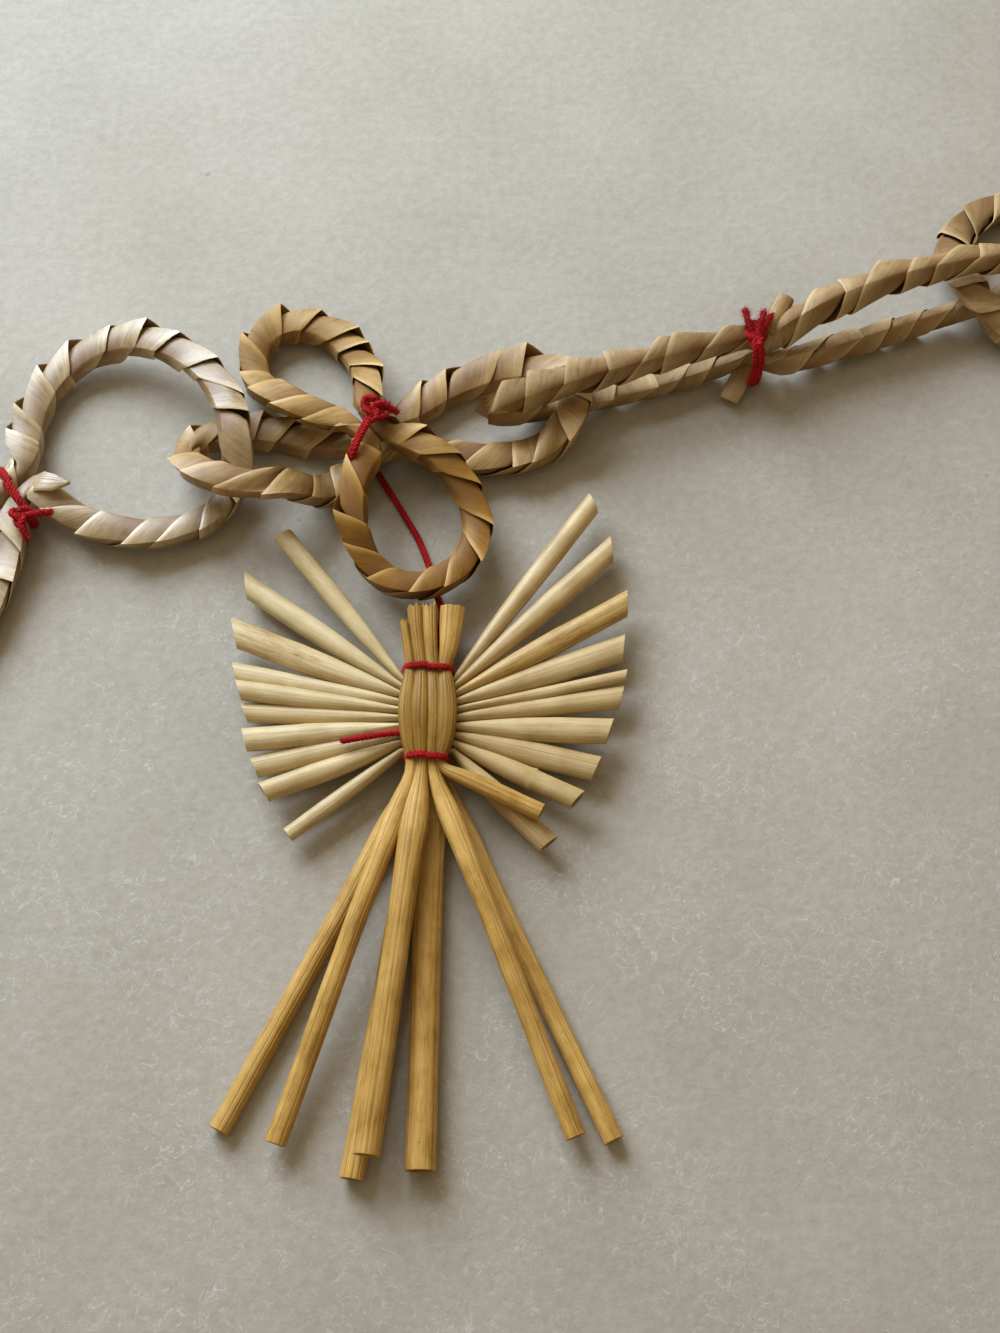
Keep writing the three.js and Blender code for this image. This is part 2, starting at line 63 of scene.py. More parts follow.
# light, middle and dark tone of each straw
PALE = ((0.60, 0.475, 0.28), (0.42, 0.295, 0.138), (0.165, 0.09, 0.025))
TAN = ((0.54, 0.375, 0.165), (0.365, 0.225, 0.075), (0.155, 0.074, 0.015))
GOLD = ((0.52, 0.345, 0.125), (0.35, 0.205, 0.058), (0.15, 0.07, 0.012))
DULL = ((0.51, 0.365, 0.185), (0.365, 0.24, 0.10), (0.17, 0.09, 0.026))
WING = ((0.70, 0.585, 0.345), (0.59, 0.465, 0.24), (0.45, 0.33, 0.145))
STRIPED = ((0.76, 0.62, 0.35), (0.56, 0.40, 0.17), (0.18, 0.098, 0.028))
TAIL = ((0.665, 0.415, 0.125), (0.49, 0.28, 0.066), (0.24, 0.123, 0.02))
CRIMSON = ((0.54, 0.018, 0.016), (0.34, 0.005, 0.006), (0.15, 0.0015, 0.002))
# painted shade: the brown laid into grooves, bores and fold recesses
PAINTED_GROOVE_SHADE = (0.175, 0.076, 0.017, 1.0)
SPECK_BROWN = (0.10, 0.045, 0.015, 1.0)


# ---- small sums
def vec(x, y, z):
    return np.array([x, y, z], float)


UP = vec(0, 0, 1)


def unit(a):
    return a / np.linalg.norm(a)


def mix(a, b, f):
    return a + (b - a) * f


def step(a, b, x):
    """Goes smoothly from 0 where x is a to 1 where x is b."""
    f = min(1.0, max(0.0, (x - a) / (b - a)))
    return f * f * (3 - 2 * f)


def dip(t, at, spread):
    """A soft bump of height 1 at one place."""
    return math.exp(-(((t - at) / spread) ** 2))


def across_and_up(t, ref):
    """The sideways and upward directions of a line that runs along t."""
    up = unit(ref - t * np.dot(ref, t))
    return unit(np.cross(up, t)), up


def direction(rows, j):
    """Which way a line of places runs at its place j."""
    return unit(rows[min(len(rows) - 1, j + 1)][:3] - rows[max(0, j - 1)][:3])


# ---- camera
CAMERA_PLACE = (9.241, -79.880, 206.432)
CAMERA_TIP = 23.0  # degrees from straight down
LENS = 45.9
SENSOR = 36.0


def set_camera():
    data = bpy.data.cameras.new("studio camera")
    data.lens = LENS
    data.sensor_width = SENSOR
    data.clip_start = 0.005
    camera = bpy.data.objects.new("studio camera", data)
    camera.location = ((vec(*CAMERA_PLACE) + SHIFT) * MM).tolist()
    camera.rotation_euler = (math.radians(CAMERA_TIP), 0.0, 0.0)
    bpy.context.collection.objects.link(camera)
    bpy.context.scene.camera = camera


# ---- writing node trees
class Wire:
    """What comes out of a node. Plain arithmetic on it adds math nodes to its tree."""

    def __init__(self, rule, socket):
        self.rule = rule
        self.socket = socket

    def worked(self, operation, other):
        work = self.rule.vector if self.socket.type in ("VECTOR", "RGBA") else self.rule.math
        return work(operation, self, other)

    def __add__(self, other):
        return self.worked("ADD", other)

    def __sub__(self, other):
        return self.worked("SUBTRACT", other)

    def __rsub__(self, other):
        return self.rule.math("SUBTRACT", other, self)

    def __mul__(self, other):
        if self.socket.type == "VECTOR":
            return self.rule.vector("SCALE", self, scale=other)
        return self.rule.math("MULTIPLY", self, other)

    def __truediv__(self, other):
        return self.rule.math("DIVIDE", self, other)


class Rule:
    """Writes one node tree. Most methods add a node and give back what comes out of it."""

    def __init__(self, tree):
        self.tree = tree

    def feed(self, socket, value):
        if isinstance(value, Wire):
            self.tree.links.new(value.socket, socket)
        else:
            socket.default_value = value

    def node(self, kind, feeds=(), **settings):
        """Adds a node with its settings, and feeds its inputs by name, by number or in order."""
        made = self.tree.nodes.new(kind)
        for key, value in settings.items():
            setattr(made, key, value)
        for key, value in feeds.items() if isinstance(feeds, dict) else enumerate(feeds):
            self.feed(made.inputs[key], value)
        return made

    def out(self, kind, feeds=(), output=0, **settings):
        """Adds a node in the same way, and gives back one of its outputs."""
        return Wire(self, self.node(kind, feeds, **settings).outputs[output])

    def math(self, operation, *values):
        return self.out("ShaderNodeMath", values, operation=operation)

    def vector(self, operation, *values, scale=None):
        feeds = dict(enumerate(values))
        if scale is not None:
            feeds["Scale"] = scale
        return self.out("ShaderNodeVectorMath", feeds, "Vector", operation=operation)

    def joined(self, *parts):
        return self.out("ShaderNodeCombineXYZ", parts)

    def parts(self, value):
        made = self.node("ShaderNodeSeparateXYZ", [value])
        return [Wire(self, socket) for socket in made.outputs]

    def ramp(self, value, *stops):
        """A colour ramp; each stop is (place, colour)."""
        made = self.node("ShaderNodeValToRGB", [value])
        elements = made.color_ramp.elements
        while len(elements) < len(stops):
            elements.new(0.5)
        for element, (place, colour) in zip(elements, stops):
            element.position = place
            element.color = (*colour, 1.0)
        return Wire(self, made.outputs["Color"])

    def blend(self, share, a, b, how="MIX"):
        return self.out("ShaderNodeMix", {0: share, 6: a, 7: b}, 2, data_type="RGBA", blend_type=how)

    def noise(self, place, scale, detail=2.0, roughness=0.5, distortion=0.0):
        feeds = {"Vector": place, "Scale": scale, "Detail": detail, "Roughness": roughness}
        return self.out("ShaderNodeTexNoise", {**feeds, "Distortion": distortion}, "Fac")

    def spread(self, value, low, high, to_low=0.0, to_high=1.0):
        return self.out("ShaderNodeMapRange", (value, low, high, to_low, to_high), clamp=True)

    def named(self, name, kind="FLOAT_VECTOR"):
        """A named attribute, in a geometry tree."""
        return self.out("GeometryNodeInputNamedAttribute", {"Name": name}, "Attribute", data_type=kind)

    def stored(self, geometry, name, value, kind="FLOAT", domain="POINT"):
        """The geometry with a value stored on it under a name."""
        feeds = {"Geometry": geometry, "Name": name, "Value": value}
        return self.out("GeometryNodeStoreNamedAttribute", feeds, data_type=kind, domain=domain)

    def carried(self, name, output="Fac"):
        """A named attribute, in a material."""
        return self.out("ShaderNodeAttribute", (), output, attribute_name=name)

    def hand_over(self, **results):
        self.node("NodeGroupOutput", results)

    def hand_over_piece(self, geometry, material):
        """The end of a tree that makes a piece: real geometry, then its material."""
        real = self.out("GeometryNodeRealizeInstances", [geometry])
        self.hand_over(Geometry=self.out("GeometryNodeSetMaterial", {"Geometry": real, "Material": material}))

    def surface(self, colour, roughness, height, relief, depth, **fixed):
        """A material's end: colour, roughness, and a fine relief of a strength and a depth."""
        bump = {"Strength": relief, "Distance": depth * MM, "Height": height}
        normal = self.out("ShaderNodeBump", bump, "Normal")
        feeds = {"Base Color": colour, "Roughness": roughness, "Normal": normal}
        shader = self.node("ShaderNodeBsdfPrincipled", feeds)
        for key, value in fixed.items():
            shader.inputs[key.replace("_", " ")].default_value = value
        self.node("ShaderNodeOutputMaterial", {"Surface": Wire(self, shader.outputs["BSDF"])})


GEOMETRY = {"Geometry": ("Geometry",)}


def new_tree(name, inputs, outputs):
    """A geometry tree; inputs and outputs are {kind: names}. Gives its Rule and {name: what comes in} too."""
    tree = bpy.data.node_groups.new(name, "GeometryNodeTree")
    for way, sockets in (("INPUT", inputs), ("OUTPUT", outputs)):
        for kind, labels in sockets.items():
            for label in labels:
                tree.interface.new_socket(name=label, in_out=way, socket_type="NodeSocket" + kind)
    rule = Rule(tree)
    entry = rule.node("NodeGroupInput")
    return tree, rule, {socket.name: Wire(rule, socket) for socket in entry.outputs if socket.name}


def new_material(name):
    material = bpy.data.materials.new(name)
    material.use_nodes = True
    material.node_tree.nodes.clear()
    return material, Rule(material.node_tree)


def grown(obj, tree, values):
    """Runs a geometry tree on an object and keeps the result as its plain mesh."""
    modifier = obj.modifiers.new(tree.name, "NODES")
    modifier.node_group = tree
    for item in tree.interface.items_tree:
        if item.in_out == "INPUT" and item.name in values:
            modifier[item.identifier] = values[item.name]
    graph = bpy.context.evaluated_depsgraph_get()
    mesh = bpy.data.meshes.new_from_object(
        obj.evaluated_get(graph), preserve_all_data_layers=True, depsgraph=graph
    )
    obj.modifiers.clear()
    obj.data = mesh
    mesh.name = obj.name


# ---- meshes
def new_object(name, points, faces=(), edges=()):
    mesh = bpy.data.meshes.new(name)
    mesh.from_pydata((np.asarray(points) + SHIFT) * MM, edges, faces)
    obj = bpy.data.objects.new(name, mesh)
    bpy.context.collection.objects.link(obj)
    return obj


def faces_outward(obj):
    """Turns a closed mesh's faces outward if its volume comes out negative."""
    made = bmesh.new()
    made.from_mesh(obj.data)
    if made.calc_volume(signed=True) < 0:
        bmesh.ops.reverse_faces(made, faces=made.faces[:])
        made.to_mesh(obj.data)
    made.free()


def smooth(obj):
    obj.data.polygons.foreach_set("use_smooth", [True] * len(obj.data.polygons))


def kept_on(obj, name, values, kind="FLOAT", domain="POINT"):
    """Stores numbers or places on a mesh under a name."""
    layer = obj.data.attributes.new(name, kind, domain)
    key = "vector" if kind == "FLOAT_VECTOR" else "value"
    layer.data.foreach_set(key, np.array(values, dtype=np.float32).ravel())


def browned_and_shaded_by_place(obj, browning_and_shade):
    """Stores how far the straw is browned, from its place across the ornament; in places this browning also
    paints in shade.
    """
    kept_on(obj, "browning_and_shade", [browning_and_shade(v.co.x / MM - SHIFT[0], v.co.y / MM - SHIFT[1]) for v in obj.data.vertices])


def place_piece(obj, material, node):
    if material is not None:
        obj.data.materials.clear()
        obj.data.materials.append(material)
    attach(obj, "root")
    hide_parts(node)


# ---- straw and thread materials
def straw_material(
    name, tones, gloss, streak=1.0, specks=0.0, gleam=0.40, brown_and_shade=(0.62, 0.48, 0.26), glint=(1.0, 1.0, 1.0),
):
    """Dry straw: fine fibres along it, paler and browner bands, painted brown shade in its grooves and
    recesses, a painted highlight on fold ridges, waxy shine.
    """
    light, middle, dark = tones
    material, rule = new_material(name)
    along, across, which = rule.parts(rule.carried("grain", "Vector"))
    painted_shade = rule.carried("painted_shade")
    browning_and_shade = rule.carried("browning_and_shade")
    fibre_place = rule.joined(along * 0.09, across * 9.0, which * 37.0)
    fibres = rule.noise(fibre_place, 1.6, 5.0, 0.62)
    fine = rule.noise(fibre_place, 6.5, 3.0, 0.6)
    bands = rule.noise(rule.joined(along * 0.22, across * 1.6, which * 11.0), 1.0, 3.0, 0.55)
    blotch = rule.noise(rule.out("ShaderNodeTexCoord", output="Object"), 260.0, 3.0, 0.55)
    tone = fibres * (0.42 * streak) + bands * 0.40 + blotch * 0.24 + (fine - 0.5) * (0.30 * streak)
    colour = rule.ramp(tone, (0.36, dark), (0.52, middle), (0.70, light))
    # no two straws are quite alike
    own = rule.out("ShaderNodeTexWhiteNoise", {"W": which * 91.7}, "Value", noise_dimensions="1D")
    colour = rule.blend(rule.spread(own, 0.0, 1.0, 0.0, 0.34), colour, (*dark, 1.0))
    if specks:
        dots = rule.noise(rule.joined(along * 1.3, across * 14.0, which), 1.3, 2.0, 0.5)
        colour = rule.blend(rule.spread(dots, 0.70, 0.78, 0.0, specks), colour, SPECK_BROWN)
    # browning darkens the straw; on the barrel and the right wing straws it also stands in for painted shade
    colour = rule.blend(browning_and_shade, colour, rule.blend(1.0, colour, (*brown_and_shade, 1.0), "MULTIPLY"))
    # painted highlight: the loose edges of plait folds are lightened towards a paler tone
    ridge_highlight_colour = (*[min(1.0, c * 1.35) for c in light], 1.0)
    colour = rule.blend(rule.carried("ridge_highlight") * 0.55, colour, ridge_highlight_colour)
    # painted shade: grooves, bores and recesses go towards brown, more strongly where the straw is browned
    groove = rule.spread(painted_shade * (browning_and_shade * 0.9 + 1.0), 0.12, 1.0, 0.0, 0.86)
    colour = rule.blend(groove, colour, PAINTED_GROOVE_SHADE)
    roughness = rule.spread(fine, 0.3, 0.7, -0.09, 0.10) + gloss + painted_shade * 0.25
    rule.surface(
        colour, roughness, fibres * 0.55 + fine * 0.45, relief=0.25, depth=0.22,
        Specular_IOR_Level=gleam, Specular_Tint=(*glint, 1.0),
    )
    return material


def thread_material():
    """Spun red sewing thread: darker between the strands, dull, with a soft bloom."""
    light, middle, dark = CRIMSON
    material, rule = new_material("crimson thread")
    whole = rule.out("ShaderNodeTexCoord", output="Object")
    fluff = rule.noise(whole, 2600.0, 3.0, 0.6)
    wear = rule.noise(whole, 350.0, 2.0, 0.5)
    colour = rule.ramp(fluff * 0.6 + wear * 0.4, (0.32, dark), (0.52, middle), (0.70, light))
    rule.surface(
        colour, rule.spread(fluff, 0.3, 0.7, 0.72, 0.92), fluff, relief=0.5, depth=0.08,
        Sheen_Weight=0.06, Sheen_Tint=(0.9, 0.25, 0.25, 1.0), Specular_IOR_Level=0.2,
    )
    return material


# ---- the line of a plait
LOW = PLAIT_H / 2
OVER = 7.6  # middle height of a strand that crosses over another
KNOT = (-8.2, 39.2)
LEFT_TIE = (-56.0, 32.7)
END_RING = (86.2, 68.6)


def at_tie(p, tie):
    """A strand is lifted a little where a tie passes under it."""
    return LOW + 1.15 * (1 - step(3.5, 10, math.hypot(p[0] - tie[0], p[1] - tie[1])))


def between(y, low, high, soft):
    """1 between two values, falling off softly outside them."""
    return step(low - soft, low, y) * (1 - step(high, high + soft, y))


def lobe(
    root, heading, reach, width, pinch, z,
    bend=0.0, gap=1.5, tilt=0, flip=1, press=None, flatten=None, slim=1.0,
):
    """A lobe of plait: out from its tie along a heading, round, and back beside itself.

    pinch sets how slowly it opens, gap how far its two ends lie apart, bend how far it leans sideways.
    A tilted lobe stands on its edge. press and flatten thin the strand by place, and slim limits its width.
    """
    h = math.radians(heading)
    along = vec(math.cos(h), math.sin(h), 0)
    left = vec(-math.sin(h), math.cos(h), 0)
    across = left * math.cos(math.radians(tilt)) + UP * math.sin(math.radians(tilt))
    ref = UP
    if tilt:
        ref = np.cross(along, across) * (1 if tilt == 90 else -1)

    def at(t):
        a = TURN * t
        out = (1 - math.cos(a)) / 2
        sway = width / 2 * math.sin(a) * math.sin(math.pi * t) ** pinch + gap * (1 - 2 * t) * (1 - out)
        p = vec(root[0], root[1], 0) + along * out * reach + across * flip * sway + left * bend * out * out
        p[2] += z(t, p)
        room = (abs(sway) - 0.1) / (PLAIT_W / 2) / 1.06 if out < 0.5 else 1.0
        near = 1 - step(0, 6, out * reach)
        squeeze = press(t) if press else 1.0
        thin = flatten(t, p) if flatten else 1.0
        return p, ref, max(0.4, min(slim, room)) * squeeze, mix(1, 0.78, near) * squeeze * thin

    return at


def end_ring(t):
    """A ring that rises where it lies over the end of the right loop."""
    a = TURN * t
    over = min(1, 1.3 * dip(t, 0.57, 0.09))
    p = vec(END_RING[0] + 12.2 * math.cos(a), END_RING[1] + 11.8 * math.sin(a), LOW + 4.1 * over)
    return p, UP, 1.0, 1 - 0.6 * over


def petal_end(t, y, soft):
    """How far along the right petal's round end a place is, where that end lies on the strands below."""
    return step(0.3, 0.4, t) * (1 - step(0.6, 0.7, t)) * between(y, 42.5, 49.3, soft)


LEFT_LOOP = [
    lobe(
        (-54.6, 34.6), heading=27.5, reach=28, width=34, pinch=0.33, bend=-3.1,
        z=lambda t, p: at_tie(p, LEFT_TIE) + 5.2 * step(0.18, 0.5, t) * step(32.6, 39.0, p[1]),
        press=lambda t: 0.91 - 0.12 * dip(t, 0.65, 0.06),
    ),
    lobe(
        (-57.3, 30.9), heading=240.5, reach=25.5, width=15, pinch=0.9, bend=1.5,
        z=lambda t, p: at_tie(p, LEFT_TIE),
    ),
]
CROSS_LOOP = [
    lobe(
        (-10.0, 37.4), heading=190, reach=23.4, width=14, pinch=0.8, bend=-3.4,
        z=lambda t, p: at_tie(p, KNOT) + 6.1 * step(0.15, 0.25, t) * (1 - step(0.36, 0.6, t)),
        press=lambda t: 1 - 0.16 * dip(t, 0.3, 0.08) - 0.16 * dip(t, 0.68, 0.08) - 0.36 * dip(t, 0.5, 0.08),
    ),
    lobe(
        (-5.0, 41.2), heading=14.5, reach=25, width=17.3, pinch=0.9, bend=-0.5,
        z=lambda t, p: at_tie(p, KNOT) + 3.35 * petal_end(t, p[1], 3.2),
        flatten=lambda t, p: 1 - 0.62 * petal_end(t, p[1], 2.4),
    ),
]
UPRIGHT_LOOP = [
    lobe(
        (-10.3, 41.4), heading=125, reach=21, width=16, pinch=0.68, bend=0.8, slim=0.87,
        z=lambda t, p: mix(OVER, LOW, step(0.18, 0.36, t) * (1 - step(0.7, 0.9, t))),
    ),
    lobe(
        (-6.2, 37.2), heading=-67.6, reach=20.2, width=18.3, pinch=0.5, bend=-0.7, slim=0.81,
        z=lambda t, p: mix(OVER, LOW + 1.6, step(0.12, 0.32, t) * (1 - step(0.62, 0.82, t))),
    ),
]
RIGHT_LOOP = [
    lobe(
        (44.2, 53.8), heading=199, reach=37.6, width=6.3, pinch=0.2, bend=-1.6, tilt=90, gap=1.95, slim=0.82,
        flatten=lambda t, p: 0.84,
        z=lambda t, p: 5.66 + 0.5 * math.sin(math.pi * t),
    ),
    lobe(
        (47.5, 53.0), heading=26, reach=41, width=8.3, pinch=0.4, bend=-5.6, tilt=62, flip=-1, gap=1.95,
        slim=0.8,
        z=lambda t, p: 5.66 + 1.1 * math.sin(math.pi * t),
        press=lambda t: 1 - 0.2 * dip(t, 0.31, 0.07) - 0.2 * dip(t, 0.69, 0.07),
    ),
]


def even_line(lobes, turn_ref, count=2400, per=320):
    """Points evenly along a closed plait, with its sideways and upward directions and its size."""
    raw = []
    for at in lobes:
        for j in range(per):
            raw.append(at(j / per if len(lobes) == 1 else (j + 0.5) / per))
    p = np.array([r[0] for r in raw])
    ref = np.array([r[1] for r in raw])
    size = np.array([[r[2], r[3]] for r in raw])
    if turn_ref:
        ref = sum(np.roll(ref, d, axis=0) for d in range(-turn_ref, turn_ref + 1))
        ref /= np.linalg.norm(ref, axis=1)[:, None]
    hops = np.linalg.norm(np.roll(p, -1, axis=0) - p, axis=1)
    length = np.concatenate([[0], np.cumsum(hops)])
    where = np.linspace(0, length[-1], count, endpoint=False)

    def even(values):
        closed = np.concatenate([values, values[:1]])
        return np.array([np.interp(where, length, closed[:, k]) for k in range(closed.shape[1])]).T

    p, ref, size = even(p), even(ref), even(size)
    # directions are taken over 1.2 mm to either side
    reach = max(1, round(1.2 / (length[-1] / count)))
    run = np.roll(p, -reach, axis=0) - np.roll(p, reach, axis=0)
    run /= np.linalg.norm(run, axis=1)[:, None]
    up = ref - run * np.sum(ref * run, axis=1)[:, None]
    up /= np.linalg.norm(up, axis=1)[:, None]
    side = np.cross(up, run)
    side /= np.linalg.norm(side, axis=1)[:, None]
    return p, side, up, size, length[-1]


# ---- plait: folds laid over one another
def corner_tree():
    """Where a fold line meets a corner of the strand: place, and the way out from the strand's middle."""
    tree, rule, given = new_tree(
        "Corner of a fold",
        {"Geometry": ("Line",), "Float": ("Place", "Folds", "Corner", "Lift", "Half width", "Half height")},
        {"Vector": ("Point", "Outward")},
    )
    count = rule.out("GeometryNodeAttributeDomainSize", [given["Line"]], "Point Count", component="MESH")
    index = rule.math("FLOOR", rule.math("FRACT", given["Place"] / given["Folds"]) * count)

    def sampled(field):
        feeds = {"Geometry": given["Line"], "Value": field, "Index": index}
        return rule.out("GeometryNodeSampleIndex", feeds, data_type="FLOAT_VECTOR", domain="POINT")

    middle = sampled(rule.out("GeometryNodeInputPosition"))
    side = sampled(rule.named("side"))
    up = sampled(rule.named("up"))
    wide, thick, roll = rule.parts(sampled(rule.named("size")))
    corner = rule.math("MODULO", given["Corner"], 4.0)
    x = rule.math("GREATER_THAN", corner, 1.5) * 2.0 - 1.0
    y = rule.math("LESS_THAN", rule.math("ABSOLUTE", corner - 1.5), 1.0) * 2.0 - 1.0
    # the underside is pressed flat, so folds stand open less there
    lift = given["Lift"] * rule.spread(y, -1.0, 1.0, 0.55, 1.0)
    # every other corner is drawn in tighter, which twists the faces between them
    tight = rule.math("GREATER_THAN", rule.math("MODULO", corner, 2.0), 0.5)
    lift = lift * rule.spread(tight, 0.0, 1.0, 0.96, 0.36)
    sideways = x * ((given["Half width"] + lift * 0.9) * wide)
    upward = y * ((given["Half height"] + lift) * thick)
    cosine = rule.math("COSINE", roll)
    sine = rule.math("SINE", roll)
    out = (side * cosine + up * sine) * sideways + (up * cosine - side * sine) * upward
    rule.hand_over(Point=middle + out, Outward=rule.vector("NORMALIZE", out))
    return tree


def plait_tree():
    """Flat straws wound round a square strand, each turn lapped over the last and folded at the corners."""
    tree, rule, given = new_tree(
        "Folded plait",
        {
            **GEOMETRY,
            "Int": ("Folds", "Starts", "Seed"),
            "Float": (
                "Half width", "Half height", "Lap", "Lift", "Straw thickness", "Unevenness", "Crease",
                "Fold length",
            ),
            "Material": ("Straw",),
        },
        GEOMETRY,
    )
    corners = corner_tree()
    # one flat leaf for each face of each fold, numbered along the plait
    points = rule.out("GeometryNodeMeshLine", {"Count": given["Folds"] * 4.0}, mode="OFFSET")
    grid = {"Size X": 1.0, "Size Y": 1.0, "Vertices X": 9, "Vertices Y": 19}
    leaf = rule.out("GeometryNodeMeshGrid", grid, "Mesh")
    leaf_place = rule.out("GeometryNodeInputPosition") + (0.5, 0.5, 0.0)
    leaf = rule.stored(leaf, "leaf place", leaf_place, "FLOAT_VECTOR")
    leaves = rule.out("GeometryNodeInstanceOnPoints", {"Points": points, "Instance": leaf})
    leaves = rule.stored(leaves, "leaf number", rule.out("GeometryNodeInputIndex"), domain="INSTANCE")
    leaves = rule.out("GeometryNodeRealizeInstances", [leaves])

    # f runs over a face from corner to corner, v round the flat straw, g from its tucked to its loose edge
    number = rule.named("leaf number", "FLOAT")
    f, v, _ = rule.parts(rule.named("leaf place"))
    f = (1.0 - rule.math("COSINE", f * math.pi)) * 0.5
    corner = rule.math("FLOORED_MODULO", number, 4.0)
    fold = rule.math("FLOOR", (number + 0.001) / 4.0)
    round_v = v * TURN
    g = (1.0 - rule.math("COSINE", round_v)) * 0.5
    sine = rule.math("SINE", round_v)
    plump = rule.math("SIGN", sine) * rule.math("POWER", rule.math("ABSOLUTE", sine), 0.6)

    def chance(k, offset):
        """A fixed random number from 0 to 1 for a fold line: its corner and its fold."""
        reached = corner + k
        line_corner = rule.math("FLOORED_MODULO", reached, 4.0)
        onward = rule.math("GREATER_THAN", reached, 3.5) * given["Starts"]
        line_fold = rule.math("FLOORED_MODULO", fold + onward, given["Folds"])
        where = rule.joined(line_corner + offset, line_fold, given["Seed"])
        return rule.out("ShaderNodeTexWhiteNoise", {"Vector": where}, "Value", noise_dimensions="3D")

    def fold_end(k):
        """Where a leaf meets the fold line at its corner k, and the way out there."""
        shake = (chance(k, 0.0) - 0.5) * given["Unevenness"]
        slant = (corner + k) * (given["Starts"] / 4.0)
        stand = chance(k, 9.0) * 0.76 + 0.56
        feeds = {
            "Line": given["Geometry"],
            "Place": fold + slant + shake + (g - 1.0) * given["Lap"],
            "Folds": given["Folds"],
            "Corner": corner + k,
            "Lift": rule.math("POWER", g, 1.15) * given["Lift"] * stand,
            "Half width": given["Half width"],
            "Half height": given["Half height"],
        }
        made = rule.node("GeometryNodeGroup")
        made.node_tree = corners
        for key, value in feeds.items():
            rule.feed(made.inputs[key], value)
        return Wire(rule, made.outputs["Point"]), Wire(rule, made.outputs["Outward"])

    def between_ends(p, q):
        return p * (1.0 - f) + q * f

    (a, a_out), (b, b_out) = fold_end(0), fold_end(1)
    outward = rule.vector("NORMALIZE", between_ends(a_out, b_out))
    edge = rule.math("ABSOLUTE", f * 2.0 - 1.0)
    belly = (1.0 - rule.math("POWER", edge, 2.0)) * (0.22 * MM)
    corner_cut = rule.math("POWER", edge, 3.0) * (-0.09 * MM)
    # creases fade out at the fold lines, so that neighbouring leaves meet there
    inside = 1.0 - rule.math("POWER", edge, 6.0)
    creases = rule.noise(rule.joined(g * 4.0, number * 0.71, f * 0.35), 1.3, 2.0, 0.5)
    crease = (creases - 0.5) * inside * given["Crease"]
    body = plump * (given["Straw thickness"] * 0.5)
    place = between_ends(a, b) + outward * (belly + corner_cut + (body + crease))
    # folds that would reach through the table are pressed flat on it
    x, y, z = rule.parts(place)
    z = rule.math("MAXIMUM", z, z * 0.15 + 0.08 * MM)
    leaves = rule.out("GeometryNodeSetPosition", {"Geometry": leaves, "Position": rule.joined(x, y, z)})

    # what the material reads: along, across and which straw; painted shade, full on a fold's inner face and
    # deep by its tucked edge; a painted highlight near its loose edge
    run = (fold + f) * given["Fold length"]
    straw = rule.math("FLOORED_MODULO", fold - corner, 4.0) + chance(0, 17.0) * 3.0
    leaves = rule.stored(leaves, "grain", rule.joined(run, g, straw), "FLOAT_VECTOR", "CORNER")
    # painted shade: the inner face of each fold is painted fully shaded
    under = rule.math("LESS_THAN", sine, -0.05)
    # painted shade by the tucked edge of a fold, stronger on its tighter side
    tight_side = rule.math("ABSOLUTE", rule.math("FLOORED_MODULO", corner, 2.0) - f)
    tucked = rule.spread(g, 0.40, 0.97, 1.0, 0.0) * rule.spread(tight_side, 0.1, 0.9, 0.36, 1.0)
    leaves = rule.stored(leaves, "painted_shade", rule.math("MAXIMUM", under, tucked))
    # painted highlight along a fold's loose edge, but not on its inner face
    bare = rule.spread(g, 0.86, 0.97, 0.0, 1.0) * rule.spread(tight_side, 0.0, 1.0, 1.0, 0.4)
    leaves = rule.stored(leaves, "ridge_highlight", bare * (1.0 - under))
    leaves = rule.out("GeometryNodeMergeByDistance", {"Geometry": leaves, "Distance": 0.002 * MM})
    rule.hand_over_piece(leaves, given["Straw"])
    return tree


def plait(node, tree, lobes, material, seed, fold, turn_ref=0, browning_and_shade=None):
    """One strand of the garland, grown along its closed line; fold is the length of one fold."""
    p, side, up, size, total = even_line(lobes, turn_ref)
    count = len(p)
    obj = new_object(node + "_plait", p, edges=[(i, (i + 1) % count) for i in range(count)])
    roll = 0.10 * np.sin(np.arange(count) / count * TURN * 5 + seed)
    kept_on(obj, "side", side, "FLOAT_VECTOR")
    kept_on(obj, "up", up, "FLOAT_VECTOR")
    kept_on(obj, "size", np.column_stack([size, roll]), "FLOAT_VECTOR")
    sizes = {
        "Folds": round(total / fold), "Starts": STARTS, "Seed": seed, "Lap": LAP, "Unevenness": UNEVENNESS,
        "Half width": (PLAIT_W / 2 + 0.2 - 0.9 * LIFT) * MM, "Half height": (PLAIT_H / 2 + 0.05 - LIFT) * MM,
        "Lift": LIFT * MM, "Straw thickness": STRAW_THICKNESS * MM, "Crease": CREASE * MM,
        "Fold length": fold * 1.25, "Straw": material,
    }
    grown(obj, tree, sizes)
    faces_outward(obj)
    smooth(obj)
    obj.data.set_sharp_from_angle(angle=math.radians(SHARP_ANGLE))
    if browning_and_shade:
        browned_and_shaded_by_place(obj, browning_and_shade)
    place_piece(obj, None, node)


# ---- round straws
LIP = 0.07  # the rounded edge of a cut end, outside and inside
INNER_LIP = 0.08
BORE_PLACES = (1.0, 0.35)  # rings down a bore, as shares of its depth
# painted shade down a bore, from its bottom out to its cut edge
BORE_SHADE = (1.0, 0.8, 0.3, 0.0)
FULLNESS = 0.93  # under 1 makes a straw's section a little squarer than an oval
THIN = 0.8  # ribs fade where the straw is flatter than this


